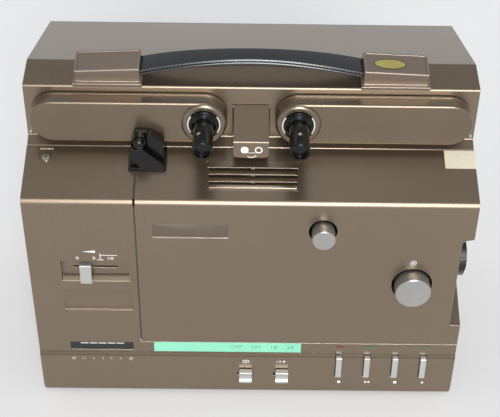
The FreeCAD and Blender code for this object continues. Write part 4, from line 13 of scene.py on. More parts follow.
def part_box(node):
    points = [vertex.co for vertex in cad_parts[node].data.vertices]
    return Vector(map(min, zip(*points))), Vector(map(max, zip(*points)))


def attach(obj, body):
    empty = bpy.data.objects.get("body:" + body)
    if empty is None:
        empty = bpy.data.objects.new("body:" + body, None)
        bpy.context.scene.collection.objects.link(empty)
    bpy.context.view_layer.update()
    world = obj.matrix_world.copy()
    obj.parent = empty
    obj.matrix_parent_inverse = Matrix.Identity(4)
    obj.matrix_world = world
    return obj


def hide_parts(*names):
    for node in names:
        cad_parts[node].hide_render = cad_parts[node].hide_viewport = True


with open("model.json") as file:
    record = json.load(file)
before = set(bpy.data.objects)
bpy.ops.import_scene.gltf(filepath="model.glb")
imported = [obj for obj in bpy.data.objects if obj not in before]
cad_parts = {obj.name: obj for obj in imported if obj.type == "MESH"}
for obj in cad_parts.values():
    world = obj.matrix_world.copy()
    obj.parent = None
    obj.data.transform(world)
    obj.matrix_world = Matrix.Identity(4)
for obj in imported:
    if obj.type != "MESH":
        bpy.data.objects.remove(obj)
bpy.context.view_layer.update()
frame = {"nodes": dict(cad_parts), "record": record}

bl_info = {
    "name": "Super 8 projector dressing",
    "version": (1, 0, 0),
    "blender": (4, 5, 0),
    "location": "View3D > Sidebar > Projector",
    "description": "Finishes and small pieces of a suitcase-shaped film projector",
    "category": "Object",
}

MM = 0.001
FRONT_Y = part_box("front_frame")[0].y

# Planes that pieces lie on: depth behind the front face and height in millimetres, and the slope
# in degrees
PLANES = {
    "front": (0.0, 0.0, 90.0),
    "strip": (-3.17, 0.0, 86.79),
    "ledge": (0.0, 167.6, 22.28),
    "top": (46.5, 224.0, 13.63),
    "nose": (24.0, 0.0, 90.0),
    "window": (0.1, 0.0, 90.0),
    "volume_sill": (0.15, 101.8, 38.0),
}

# Edges flatter than the first angle are shaded smooth, those sharper than the second are rounded
SMOOTH_ANGLE = math.radians(40)
SHARP_EDGE = 0.6

# Strap: steps of its bow, groove between its layers in shares of its thickness, padded share of
# its length, what the pad's ends shrink to, and how far those ends and the waist fade out
STRAP_STEPS = 72
STRAP_SMOOTH = math.radians(35)
GROOVE = (0.42, 0.57)
PAD_SHARE = 0.8
PAD_END = (1, 0.6, 0.1)
PAD_TAPER = 0.045
WAIST_REACH = 0.068

# Stitches: place from the front edge and the top, in millimetres, their stretch, and the shares
# of each half of the bow where they begin and end
STITCH_IN = 0.38
STITCH_SUNK = 0.34
STITCH_SHAPE = (1.15, 0.42, 0.42)
STITCH_RUN = (0.22, 0.96)

# Prints, in millimetres: heights of their rows up the plane and of their figures
VOLUME_ROW = 121.5
LEVEL_ROW = 32.0
WORDS_ROW = 43.0
KEY_ROW = 12.2
LIGHT_ROW = 43.8
FIGURE_TALL = 2.2

# Sockets of a Mix node: two colours and their mixture, or two values
COLOUR_A, COLOUR_B, COLOUR_OUT = 6, 7, 2
VALUE_A, VALUE_B, VALUE_OUT = 2, 3, 0

# Band of the grain's values over which the darker flake turns into the lighter one
GRAIN_LOW, GRAIN_HIGH = 0.3, 0.7

# Finishes: roughness of clear coats and the rougher finish of the fold, painted shade darkening the
# fold, dust, shade of ink
COAT_ROUGHNESS = 0.2
FOLD_ROUGHNESS = 0.6
FOLD_PAINTED_SHADE = 0.45
DUST_COLOUR = (176, 170, 160)
INK_SHADE = 0.86

# Stage: side of the floor in metres, its darker cloud as a share of its colour, and the distance
# between the front lamps as a share of their width
FLOOR_SIDE = 30.0
FLOOR_SHADE = 0.97
LAMP_STEP = 0.82

# Node groups that the materials share, by name
GROUPS = {}


def linear(red, green, blue):
    """A colour that a screen shows as these three bytes, as Blender's linear numbers."""
    out = []
    for byte in (red, green, blue):
        c = byte / 255
        out.append(c / 12.92 if c <= 0.04045 else ((c + 0.055) / 1.055) ** 2.4)
    return tuple(out)


# Shader building


def node(tree, kind, place=(0, 0), **settings):
    """A new node; each setting is one of its own or else the value of an input."""
    made = tree.nodes.new(kind)
    made.location = place
    for key, value in settings.items():
        if hasattr(made, key):
            setattr(made, key, value)
        else:
            made.inputs[key.replace("_", " ")].default_value = value
    return made


def join(tree, source, target):
    tree.links.new(source, target)


def group_tree(name, inputs, outputs):
    """An empty node group with its sockets, its input node and its output node."""
    tree = bpy.data.node_groups.new(name, "ShaderNodeTree")
    for label, kind, value in inputs:
        socket = tree.interface.new_socket(label, in_out="INPUT", socket_type=kind)
        if value is not None:
            socket.default_value = value
    for label, kind in outputs:
        tree.interface.new_socket(label, in_out="OUTPUT", socket_type=kind)
    return tree, tree.nodes.new("NodeGroupInput"), tree.nodes.new("NodeGroupOutput")


def make_grain_group():
    """Fine speckle with a slow drift: a value round one half, and a height for bump."""
    tree, given, result = group_tree("Grain", [
        ("Scale", "NodeSocketFloat", 900.0),
        ("Drift Scale", "NodeSocketFloat", 12.0),
        ("Drift", "NodeSocketFloat", 0.5),
    ], [("Value", "NodeSocketFloat"), ("Height", "NodeSocketFloat")])
    where = tree.nodes.new("ShaderNodeTexCoord")
    fine = node(tree, "ShaderNodeTexNoise", Detail=2.0)
    slow = node(tree, "ShaderNodeTexNoise", Detail=3.0)
    mix = node(tree, "ShaderNodeMix", data_type="FLOAT")
    join(tree, where.outputs["Object"], fine.inputs["Vector"])
    join(tree, where.outputs["Object"], slow.inputs["Vector"])
    join(tree, given.outputs["Scale"], fine.inputs["Scale"])
    join(tree, given.outputs["Drift Scale"], slow.inputs["Scale"])
    join(tree, given.outputs["Drift"], mix.inputs["Factor"])
    join(tree, fine.outputs["Fac"], mix.inputs[VALUE_A])
    join(tree, slow.outputs["Fac"], mix.inputs[VALUE_B])
    join(tree, mix.outputs[VALUE_OUT], result.inputs["Value"])
    join(tree, fine.outputs["Fac"], result.inputs["Height"])
    return tree


def make_edge_group():
    """Rounds a sharp edge's shading and marks where it runs."""
    tree, given, result = group_tree("Edge", [
        ("Radius", "NodeSocketFloat", 0.0004),
        ("Gain", "NodeSocketFloat", 4.0),
    ], [("Normal", "NodeSocketVector"), ("Mask", "NodeSocketFloat")])
    round_off = node(tree, "ShaderNodeBevel", samples=4)
    face = tree.nodes.new("ShaderNodeNewGeometry")
    dot = node(tree, "ShaderNodeVectorMath", operation="DOT_PRODUCT")
    less = node(tree, "ShaderNodeMath", operation="SUBTRACT")
    less.inputs[0].default_value = 1.0
    gain = node(tree, "ShaderNodeMath", operation="MULTIPLY", use_clamp=True)
    join(tree, given.outputs["Radius"], round_off.inputs["Radius"])
    join(tree, round_off.outputs["Normal"], dot.inputs[0])
    join(tree, face.outputs["True Normal"], dot.inputs[1])
    join(tree, dot.outputs["Value"], less.inputs[1])
    join(tree, less.outputs[0], gain.inputs[0])
    join(tree, given.outputs["Gain"], gain.inputs[1])
    join(tree, round_off.outputs["Normal"], result.inputs["Normal"])
    join(tree, gain.outputs[0], result.inputs["Mask"])
    return tree


def make_fold_group():
    """Marks the fold above the key strip: 1 within its height on the front, else 0."""
    tree, given, result = group_tree("Fold", [
        ("Height", "NodeSocketFloat", 0.0358),
        ("Half Width", "NodeSocketFloat", 0.0012),
        ("Depth", "NodeSocketFloat", 0.0005),
    ], [("Mask", "NodeSocketFloat")])
    where = tree.nodes.new("ShaderNodeTexCoord")
    parts = tree.nodes.new("ShaderNodeSeparateXYZ")
    level = node(tree, "ShaderNodeMath", operation="COMPARE")
    front = node(tree, "ShaderNodeMath", operation="LESS_THAN")
    both = node(tree, "ShaderNodeMath", operation="MULTIPLY")
    join(tree, where.outputs["Object"], parts.inputs[0])
    join(tree, parts.outputs["Z"], level.inputs[0])
    join(tree, given.outputs["Height"], level.inputs[1])
    join(tree, given.outputs["Half Width"], level.inputs[2])
    join(tree, parts.outputs["Y"], front.inputs[0])
    join(tree, given.outputs["Depth"], front.inputs[1])
    join(tree, level.outputs[0], both.inputs[0])
    join(tree, front.outputs[0], both.inputs[1])
    join(tree, both.outputs[0], result.inputs["Mask"])
    return tree


def make_dust_group():
    """Loose specks and faint smudges: a mask from 0 to 1."""
    tree, given, result = group_tree("Dust", [
        ("Speck Scale", "NodeSocketFloat", 260.0),
        ("Amount", "NodeSocketFloat", 0.5),
    ], [("Mask", "NodeSocketFloat")])
    where = tree.nodes.new("ShaderNodeTexCoord")
    specks = node(tree, "ShaderNodeTexVoronoi", feature="F1")
    small = node(tree, "ShaderNodeMapRange")
    small.inputs["From Min"].default_value = 0.10
    small.inputs["From Max"].default_value = 0.04
    cloud = node(tree, "ShaderNodeTexNoise", Scale=30.0, Detail=4.0)
    thick = node(tree, "ShaderNodeMapRange")
    thick.inputs["From Min"].default_value = 0.52
    thick.inputs["From Max"].default_value = 0.70
    both = node(tree, "ShaderNodeMath", operation="MULTIPLY")
    share = node(tree, "ShaderNodeMath", operation="MULTIPLY", use_clamp=True)
    join(tree, where.outputs["Object"], specks.inputs["Vector"])
    join(tree, where.outputs["Object"], cloud.inputs["Vector"])
    join(tree, given.outputs["Speck Scale"], specks.inputs["Scale"])
    join(tree, specks.outputs["Distance"], small.inputs["Value"])
    join(tree, cloud.outputs["Fac"], thick.inputs["Value"])
    join(tree, small.outputs[0], both.inputs[0])
    join(tree, thick.outputs[0], both.inputs[1])
    join(tree, both.outputs[0], share.inputs[0])
    join(tree, given.outputs["Amount"], share.inputs[1])
    join(tree, share.outputs[0], result.inputs["Mask"])
    return tree


def placed_group(tree, group, place, **values):
    """A node group set into a material, with its own values."""
    made = node(tree, "ShaderNodeGroup", place)
    made.node_tree = group
    for key, value in values.items():
        made.inputs[key.replace("_", " ")].default_value = value
    return made


def shared_group(name, maker):
    """A node group that is built once."""
    if name not in GROUPS:
        GROUPS[name] = maker()
    return GROUPS[name]


def lay_over(tree, mask, below, colour, place):
    """A colour laid over the ones below where the mask is 1."""
    mix = node(tree, "ShaderNodeMix", place, data_type="RGBA")
    join(tree, mask, mix.inputs["Factor"])
    join(tree, below, mix.inputs[COLOUR_A])
    mix.inputs[COLOUR_B].default_value = (*colour, 1)
    return mix.outputs[COLOUR_OUT]


def finish_material(name, dark, light, roughness, metallic=0.0, grain=900.0, drift=0.5,
                    drift_scale=12.0, bump=0.1, bump_depth=0.00005, edge=0.0, edge_colour=None,
                    edge_gain=4.0, dust=0.0, roughness_spread=0.08, coat=0.0, specular=0.5,
                    fold=False):
    """A paint, metal, plastic or rubber: two near colours in a grain, rounded edges with a lighter
    colour laid along them, dust; on the bronze paints, mounts, knobs and keys that edge colour is
    painted highlight.
    """
    material = bpy.data.materials.new(name)
    material.use_nodes = True
    tree = material.node_tree
    shader = tree.nodes["Principled BSDF"]
    shader.inputs["Metallic"].default_value = metallic
    shader.inputs["Specular IOR Level"].default_value = specular
    shader.inputs["Coat Weight"].default_value = coat
    shader.inputs["Coat Roughness"].default_value = COAT_ROUGHNESS
    speckle = placed_group(tree, shared_group("Grain", make_grain_group), (-900, 200),
                           Scale=grain, Drift_Scale=drift_scale, Drift=drift)
    spread = node(tree, "ShaderNodeMapRange", (-760, 300))
    spread.inputs["From Min"].default_value = GRAIN_LOW
    spread.inputs["From Max"].default_value = GRAIN_HIGH
    flakes = node(tree, "ShaderNodeMix", (-600, 300), data_type="RGBA")
    flakes.inputs[COLOUR_A].default_value = (*dark, 1)
    flakes.inputs[COLOUR_B].default_value = (*light, 1)
    join(tree, speckle.outputs["Value"], spread.inputs["Value"])
    join(tree, spread.outputs[0], flakes.inputs["Factor"])
    colour = flakes.outputs[COLOUR_OUT]
    rough = node(tree, "ShaderNodeMapRange", (-600, 0))
    rough.inputs["To Min"].default_value = max(roughness - roughness_spread, 0.02)
    rough.inputs["To Max"].default_value = min(roughness + roughness_spread, 1.0)
    join(tree, speckle.outputs["Value"], rough.inputs["Value"])
    polish = rough.outputs[0]
    bumped = node(tree, "ShaderNodeBump", (-300, -200))
    bumped.inputs["Strength"].default_value = bump
    bumped.inputs["Distance"].default_value = bump_depth
    join(tree, speckle.outputs["Height"], bumped.inputs["Height"])
    if edge > 0:
        wear_and_sheen = placed_group(tree, shared_group("Edge", make_edge_group), (-900, -200),
                            Radius=edge, Gain=edge_gain)
        join(tree, wear_and_sheen.outputs["Normal"], bumped.inputs["Normal"])
        # A lighter colour along sharp edges; on the bronze paints, mounts, knobs and keys it is
        # painted highlight
        if edge_colour is not None:
            colour = lay_over(tree, wear_and_sheen.outputs["Mask"], colour, edge_colour, (-400, 300))
    if dust > 0:
        specks = placed_group(tree, shared_group("Dust", make_dust_group), (-900, -400),
                              Amount=dust)
        colour = lay_over(tree, specks.outputs["Mask"], colour, linear(*DUST_COLOUR), (-240, 300))
    # The fold above the key strip gets painted shade: its colour is darkened, and it is made
    # rougher and loses its clear coat
    if fold:
        fold_shade_mask = placed_group(tree, shared_group("Fold", make_fold_group), (-900, 600))
        colour = lay_over(tree, fold_shade_mask.outputs["Mask"], colour, [FOLD_PAINTED_SHADE * c for c in dark],
                          (-120, 400))
        dull = node(tree, "ShaderNodeMix", (-400, 0), data_type="FLOAT")
        dull.inputs[VALUE_B].default_value = FOLD_ROUGHNESS
        join(tree, fold_shade_mask.outputs["Mask"], dull.inputs["Factor"])
        join(tree, polish, dull.inputs[VALUE_A])
        polish = dull.outputs[VALUE_OUT]
        clear = node(tree, "ShaderNodeMapRange", (-400, 500))
        clear.inputs["To Min"].default_value = coat
        clear.inputs["To Max"].default_value = 0.0
        join(tree, fold_shade_mask.outputs["Mask"], clear.inputs["Value"])
        join(tree, clear.outputs[0], shader.inputs["Coat Weight"])
    join(tree, colour, shader.inputs["Base Color"])
    join(tree, polish, shader.inputs["Roughness"])
    join(tree, bumped.outputs["Normal"], shader.inputs["Normal"])
    return material


def print_ink(name, colour, roughness=0.5):
    """Screen print or coloured plastic: one colour, a little uneven."""
    wear_and_sheen = tuple(INK_SHADE * c for c in colour)
    return finish_material(name, wear_and_sheen, colour, roughness, grain=1600.0, drift=0.6,
                           drift_scale=40.0, bump_depth=0.00002)


def glass_material(name, colour, roughness, weight):
    """Clear or coated glass with faint smears."""
    material = bpy.data.materials.new(name)
    material.use_nodes = True
    tree = material.node_tree
    shader = tree.nodes["Principled BSDF"]
    shader.inputs["Base Color"].default_value = (*colour, 1)
    shader.inputs["Transmission Weight"].default_value = weight
    shader.inputs["IOR"].default_value = 1.5
    smear = node(tree, "ShaderNodeTexNoise", (-600, 0), Scale=60.0, Detail=3.0)
    where = node(tree, "ShaderNodeTexCoord", (-800, 0))
    rough = node(tree, "ShaderNodeMapRange", (-400, 0))
    rough.inputs["To Min"].default_value = roughness
    rough.inputs["To Max"].default_value = roughness + 0.12
    join(tree, where.outputs["Object"], smear.inputs["Vector"])
    join(tree, smear.outputs["Fac"], rough.inputs["Value"])
    join(tree, rough.outputs[0], shader.inputs["Roughness"])
    return material


def dress(piece, material):
    """Gives a mesh one material all over."""
    piece.data.materials.clear()
    piece.data.materials.append(material)


# Mesh helpers


def deselect():
    """Leaves edit mode and selects nothing."""
    if bpy.context.mode != "OBJECT":
        bpy.ops.object.mode_set(mode="OBJECT")
    bpy.ops.object.select_all(action="DESELECT")


def start(name):
    """The active new primitive, named."""
    made = bpy.context.active_object
    made.name = name
    made.data.name = name
    return made


def only(piece):
    """Makes one object the active one and the only one selected."""
    deselect()
    piece.select_set(True)
    bpy.context.view_layer.objects.active = piece


def bake_place(piece):
    """Moves the place, turn and scale of an object into its mesh."""
    only(piece)
    bpy.ops.object.transform_apply(location=True, rotation=True, scale=True)
    return piece


def unpick(piece):
    """Makes a piece the active one with no corner, edge or face of it selected."""
    only(piece)
    mesh = piece.data
    for part in (mesh.vertices, mesh.edges, mesh.polygons):
        part.foreach_set("select", [False] * len(part))
    return mesh


def edit_edges(piece, test):
    """Opens a piece for editing with the edges selected whose two ends pass a test."""
    mesh = unpick(piece)
    for edge in mesh.edges:
        ends = [mesh.vertices[i].co for i in edge.vertices]
        edge.select = bool(test(*ends))
    bpy.context.tool_settings.mesh_select_mode = (False, True, False)
    bpy.ops.object.mode_set(mode="EDIT")


def edit_corners(piece, test):
    """Opens a piece for editing with the corners selected that pass a test."""
    mesh = unpick(piece)
    for vertex in mesh.vertices:
        vertex.select = bool(test(vertex.co))
    bpy.context.tool_settings.mesh_select_mode = (True, False, False)
    bpy.ops.object.mode_set(mode="EDIT")


def edit_all(piece):
    """Opens a piece for editing with all of it selected."""
    only(piece)
    bpy.context.tool_settings.mesh_select_mode = (True, False, False)
    bpy.ops.object.mode_set(mode="EDIT")
    bpy.ops.mesh.select_all(action="SELECT")


def join_pieces(name, pieces):
    """Makes several meshes one, under a name."""
    only(pieces[0])
    for piece in pieces:
        piece.select_set(True)
    bpy.ops.object.join()
    return start(name)


def thicken(piece, depth):
    """Gives a flat mesh a depth in millimetres, on the side its faces look to."""
    solid = piece.modifiers.new("thickness", "SOLIDIFY")
    solid.thickness = depth * MM
    solid.offset = 1.0
    only(piece)
    bpy.ops.object.modifier_apply(modifier=solid.name)
    return piece


def soften(piece, width, steps=2):
    """Rounds the sharp edges of a mesh by a width in millimetres."""
    bevel = piece.modifiers.new("edges", "BEVEL")
    bevel.width = width * MM
    bevel.segments = steps
    bevel.limit_method = "ANGLE"
    bevel.angle_limit = SHARP_EDGE
    only(piece)
    bpy.ops.object.modifier_apply(modifier=bevel.name)
    bpy.ops.object.shade_smooth_by_angle(angle=SMOOTH_ANGLE)


def place_on(piece, plane, lift=0.0):
    """Lays a piece made on the ground on a plane: its X along the front, its Y up the slope."""
    depth, height, slope = PLANES[plane]
    turn = math.radians(slope)
    out = Vector((0, -math.sin(turn), math.cos(turn)))
    piece.rotation_euler = (turn, 0, 0)
    piece.location = Vector((0, FRONT_Y + depth * MM, height * MM)) + out * lift * MM
    return bake_place(piece)


def bar(x, up, wide, tall, rounding=0.0):
    """Flat bar round a middle point, in millimetres."""
    bpy.ops.mesh.primitive_plane_add(size=1.0)
    piece = start("bar")
    piece.scale = (wide * MM, tall * MM, 1)
    piece.location = (x * MM, up * MM, 0)
    bake_place(piece)
    if rounding:
        edit_all(piece)
        bpy.ops.mesh.bevel(offset=rounding * MM, segments=4, affect="VERTICES")
        bpy.ops.object.mode_set(mode="OBJECT")
    return piece


def bar_between(left, right, low, high, rounding=0.0):
    """Flat bar from one side to the other and from low to high, in metres."""
    return bar((left + right) / 2 / MM, (low + high) / 2 / MM, (right - left) / MM,
               (high - low) / MM, rounding)


def disc(x, up, wide, tall=None, corners=32, turn=0.0, rim=0.0):
    """Flat disc, oval or regular shape round a middle point; with a rim it is a ring."""
    bpy.ops.mesh.primitive_circle_add(vertices=corners, radius=0.5, fill_type="NGON",
                                      rotation=(0, 0, turn))
    piece = bake_place(start("disc"))
    piece.scale = (wide * MM, (tall or wide) * MM, 1)
    piece.location = (x * MM, up * MM, 0)
    bake_place(piece)
    if rim:
        edit_all(piece)
        bpy.ops.mesh.inset(thickness=rim * MM)
        bpy.ops.mesh.delete(type="FACE")
        bpy.ops.object.mode_set(mode="OBJECT")
    return piece


def letters(words, x, up, wide, tall):
    """Flat figures stretched to a width and a height round a middle point."""
    bpy.ops.object.text_add()
    piece = bpy.context.active_object
    piece.data.body = words
    piece.data.size = 0.01
    only(piece)
    bpy.ops.object.convert(target="MESH")
    piece = start("letters")
    bpy.ops.object.origin_set(type="ORIGIN_GEOMETRY", center="BOUNDS")
    size = piece.dimensions
    piece.scale = (wide * MM / size.x, tall * MM / size.y, 1)
    piece.location = (x * MM, up * MM, 0)
    return bake_place(piece)


def print_marks(name, marks, plane, material, body="case", depth=0.05, lift=0.02):
    """Joins flat marks into one print, gives it a thickness and lays it on a plane."""
    piece = thicken(join_pieces(name, marks), depth)
    place_on(piece, plane, lift)
    dress(piece, material)
    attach(piece, body)
    return piece


def strap_layer(look, section, chamfer, steps=1, share=1.0):
    """A layer of the strap: its cut end (front, back, low, high) swept round the bow's axis."""
    s0, s1, h0, h1 = section
    centre = look.strap_foot + look.strap_rise - look.bow_radius
    half = look.bow_half * share
    bpy.ops.mesh.primitive_plane_add(size=1.0, rotation=(0, math.pi / 2, 0))
    layer = bake_place(start("strap_layer"))
    layer.scale = (1, s1 - s0, h1 - h0)
    layer.location = (0, (s0 + s1) / 2, look.strap_foot + look.strap_rise + (h0 + h1) / 2)
    bake_place(layer)
    edit_all(layer)
    bpy.ops.mesh.bevel(offset=chamfer, segments=steps, affect="VERTICES")
    bpy.ops.mesh.select_all(action="SELECT")
    bpy.ops.transform.rotate(value=half, orient_axis="Y", center_override=(0, 0, centre))
    bpy.ops.mesh.spin(steps=STRAP_STEPS, angle=2 * half, center=(0, 0, centre), axis=(0, -1, 0))
    bpy.ops.mesh.select_all(action="SELECT")
    bpy.ops.mesh.normals_make_consistent(inside=False)
    bpy.ops.object.mode_set(mode="OBJECT")
    return layer


def squeeze(piece, test, value, middle, reach):
    """Scales the corners that pass a test, and those within reach of them less and less."""
    edit_corners(piece, test)
    bpy.ops.transform.resize(value=value, center_override=middle, use_proportional_edit=True,
                             proportional_edit_falloff="SMOOTH", proportional_size=reach)
    bpy.ops.object.mode_set(mode="OBJECT")


def make_stitches(look, thread):
    """Stitches along the front edge of the strap, from near the middle out to both ends."""
    bpy.ops.mesh.primitive_uv_sphere_add(segments=10, ring_count=6, radius=0.5 * MM)
    stitch = bake_place(start("stitch"))
    dress(stitch, thread)
    axis = look.strap_foot + look.strap_rise - look.bow_radius
    seat = (0, look.strap_front + STITCH_IN * MM,
            look.bow_radius + look.strap_thick - STITCH_SUNK * MM)
    first, last = STITCH_RUN
    stitches = []
    for side in (-1, 1):
        for i in range(look.strap_stitches):
            share = first + (last - first) * i / (look.strap_stitches - 1)
            one = stitch.copy()
            one.data = stitch.data.copy()
            bpy.context.collection.objects.link(one)
            one.matrix_world = (Matrix.Translation((0, 0, axis))
                                @ Matrix.Rotation(side * look.bow_half * share, 4, "Y")
                                @ Matrix.Translation(seat)
                                @ Matrix.Diagonal((*STITCH_SHAPE, 1)))
            stitches.append(bake_place(one))
    bpy.data.objects.remove(stitch)
    return stitches


def make_strap(look):
    """Leather strap bowed between the mounts: two stitched layers, padded under the middle."""
    end_x = look.strap_reach / 2
    look.bow_radius = (end_x ** 2 + look.strap_rise ** 2) / (2 * look.strap_rise)
    look.bow_half = math.asin(end_x / look.bow_radius)
    crown = look.strap_foot + look.strap_rise
    s0, s1, thick = look.strap_front, look.strap_back, look.strap_thick
    middle = (s0 + s1) / 2
    groove_low, groove_high = (share * thick for share in GROOVE)
    upper = strap_layer(look, (s0, s1, groove_high, thick), 0.75 * MM)
    lower = strap_layer(look, (s0 + 0.2 * MM, s1 - 0.2 * MM, 0.0, groove_low), 0.6 * MM)
    core = strap_layer(look, (s0 + MM, s1 - MM, 0.3 * thick, 0.7 * thick), 0.2 * MM)
    belly = strap_layer(look, (s0 + 2.0 * MM, s1 - 2.0 * MM, -look.strap_pad, 0.2 * thick),
                        2.0 * MM, steps=5, share=PAD_SHARE)
    reach = max(v.co.x for v in belly.data.vertices)
    for side in (-1, 1):
        squeeze(belly, lambda co: side * co.x > reach - 1.5 * MM, PAD_END,
                (side * reach, middle, crown - 4.0 * MM), PAD_TAPER)
    leather = frame["nodes"]["handle_strap"].data.materials[0]
    for layer in (upper, lower, core, belly):
        dress(layer, leather)
    for layer in (upper, lower):
        soften(layer, 0.22)
    thread = finish_material("strap thread", linear(92, 96, 102), linear(132, 136, 142), 0.5,
                             bump=0.3)
    stitches = make_stitches(look, thread)
    strap = join_pieces("leather_strap", [upper, lower, core, belly, *stitches])
    squeeze(strap, lambda co: abs(co.x) < 2.2 * MM, (1, look.strap_waist, 1),
            (0, middle + 0.4 * MM, crown), WAIST_REACH)
    only(strap)
    bpy.ops.object.shade_smooth_by_angle(angle=STRAP_SMOOTH)
    place_on(strap, "top")
    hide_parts("handle_strap")
    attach(strap, "case")


def touch(node, begin, way):
    """The point and the normal where a line, begun at a place in millimetres, meets a solid."""
    origin = Vector((begin[0] * MM, FRONT_Y + begin[1] * MM, begin[2] * MM))
    hit, point, normal, _ = frame["nodes"][node].ray_cast(origin, Vector(way))
    if not hit:
        raise RuntimeError("nothing of " + node + " lies there")
    return point, normal


def lay_at(piece, point, normal, lift=0.0):
    """Lays a piece made round the ground's origin on a surface, its X kept along the front."""
    out = normal.normalized()
    side = Vector((1, 0, 0))
    side = (side - out * side.dot(out)).normalized()
    up = out.cross(side)
    piece.matrix_world = Matrix.Translation(point + out * lift * MM) @ Matrix(
        (side, up, out)).transposed().to_4x4()
    return bake_place(piece)


def make_volume_print(look):
    """Figures, reference tick and growing wedge above the volume slot."""
    marks = [letters(figure, x, VOLUME_ROW, wide, FIGURE_TALL)
             for figure, x, wide in (("0", -112.5, 1.7), ("5", -101.7, 1.7), ("10", -90.6, 3.4))]
    tick_x = -97.5
    marks += [
        bar(tick_x, 122.7, 0.45, 5.6),
        bar(tick_x, 120.1, 4.1, 0.45),
        bar(-91.9, 124.0, 11.0, 0.4),
        disc(-103.4, 126.9, 11.0, 2.3, corners=3, turn=math.pi / 2),
    ]
    print_marks("volume_print", marks, "front", print_ink("white print", look.white))


def make_level_print(look):
    """Five bars of the level meter, and the scale on the strip below it."""
    first_x, pitch = -113.4, 6.2
    bars = [bar(first_x + pitch * i, 45.2, 5.3, 1.1, rounding=0.2) for i in range(5)]
    print_marks("level_bars", bars, "window", print_ink("pale print", look.pale, roughness=0.4))
    minus_x, plus_x = -121.6, -81.7
    marks = [
        disc(minus_x, LEVEL_ROW, 2.6, rim=0.4),
        bar(minus_x, LEVEL_ROW, 1.3, 0.4),
        disc(plus_x, LEVEL_ROW, 2.6, rim=0.4),
        bar(plus_x, LEVEL_ROW, 1.3, 0.4),
        bar(plus_x, LEVEL_ROW, 0.4, 1.3),
    ]
    for x, figure, wide in ((-114.3, "12", 2.4), (-107.8, "6", 1.3), (-101.3, "3", 1.3),
                            (-95.5, "0", 1.3), (-89.1, "3", 1.3)):
        marks.append(letters(figure, x, LEVEL_ROW, wide, 1.7))
    print_marks("level_scale", marks, "strip", print_ink("faint print", look.faint))


def make_mint_label(look):
    """Mint label above the switches, with its words in a darker green."""
    label = bar(-14.2, 42.5, 102.0, 8.6, rounding=0.3)
    print_marks("mint_label", [label], "front", print_ink("mint film", look.mint, roughness=0.45),
                depth=0.15)
    words = [letters(word, x, WORDS_ROW, wide, 2.8)
             for word, x, wide in (("OFF", -8.2, 8.2), ("ON", 5.7, 6.4), ("18", 18.2, 4.2),
                                   ("24", 29.3, 4.8))]
    print_marks("mint_words", words, "front", print_ink("green print", look.mint_dark), lift=0.18)


def make_switch_marks(look):
    """Overlapping rings above one slide switch and arrowheads above the other."""
    marks = [disc(x, 30.4, 2.7, rim=0.4) for x in (-2.3, -0.3)]
    for x, size in ((20.6, 1.3), (22.7, 1.9), (25.4, 2.5)):
        marks.append(disc(x, 30.5, size, corners=3, turn=-math.pi / 2))
    print_marks("switch_marks", marks, "strip", print_ink("switch print", look.white))


def make_key_marks(look):
    """A symbol under each function key and a coloured light above three of them."""
    marks = [
        disc(64.8, KEY_ROW, 2.3),
        disc(83.6, KEY_ROW, 2.3, corners=3, turn=math.pi / 2),
        disc(85.9, KEY_ROW, 2.3, corners=3, turn=math.pi / 2),
        bar(104.6, KEY_ROW, 2.1, 2.1, rounding=0.15),
        disc(124.0, KEY_ROW, 2.6, corners=3, turn=-math.pi / 2),
    ]
    print_marks("key_symbols", marks, "strip", print_ink("key print", look.white))
    for name, x, colour in (("record_light", 64.3, look.red), ("reverse_light", 84.1, look.green),
                            ("projection_light", 123.5, look.green)):
        lens = print_marks(name, [bar(x, LIGHT_ROW, 6.0, 1.5, rounding=0.25)], "front",
                           print_ink(name.replace("_", " "), colour, roughness=0.3), depth=0.3)
        soften(lens, 0.1)


def make_key_nose_print(look):
    """Full reel, empty reel, the film between them and a turning arrow on the centre key."""
    arrow = disc(0.2, 188.1, 6.4, 4.6, corners=40, rim=0.55)
    edit_all(arrow)
    bpy.ops.mesh.bisect(plane_co=(0, 186.9 * MM, 0), plane_no=(0, 1, 0), clear_outer=True)
    bpy.ops.object.mode_set(mode="OBJECT")
    reel_row = 191.7
    marks = [
        disc(-4.0, reel_row, 5.0),
        disc(4.9, reel_row, 4.9, rim=0.75),
        bar(0.3, 189.6, 5.2, 0.35),
        arrow,
        disc(3.0, 187.2, 1.5, corners=3),
    ]
    print_marks("key_nose_print", marks, "nose", print_ink("nose print", look.white),
                body="centre_key")


def make_focus_mark(look):
    """Pale index spot above the focus knob, with a ring round its middle."""
    marks = [disc(107.6, 120.1, 4.4, rim=0.7), disc(107.6, 120.1, 2.2)]
    print_marks("focus_spot", marks, "front", print_ink("spot print", look.pale), body="cover")


def make_name_plate(look):
    """Bare plate lying in its recess on the front cover, with a dark gap all round."""
    plate = bar_between(look.plate_left, look.plate_right, look.plate_bottom, look.plate_top,
                        rounding=0.2)
    paint = finish_material("plate paint", linear(114, 103, 92), linear(124, 113, 101), 0.36,
                            metallic=0.9, grain=1300.0, bump=0.05, bump_depth=0.00001)
    print_marks("name_plate", [plate], "front", paint, body="cover", depth=0.45, lift=-0.68)
    soften(plate, 0.12)


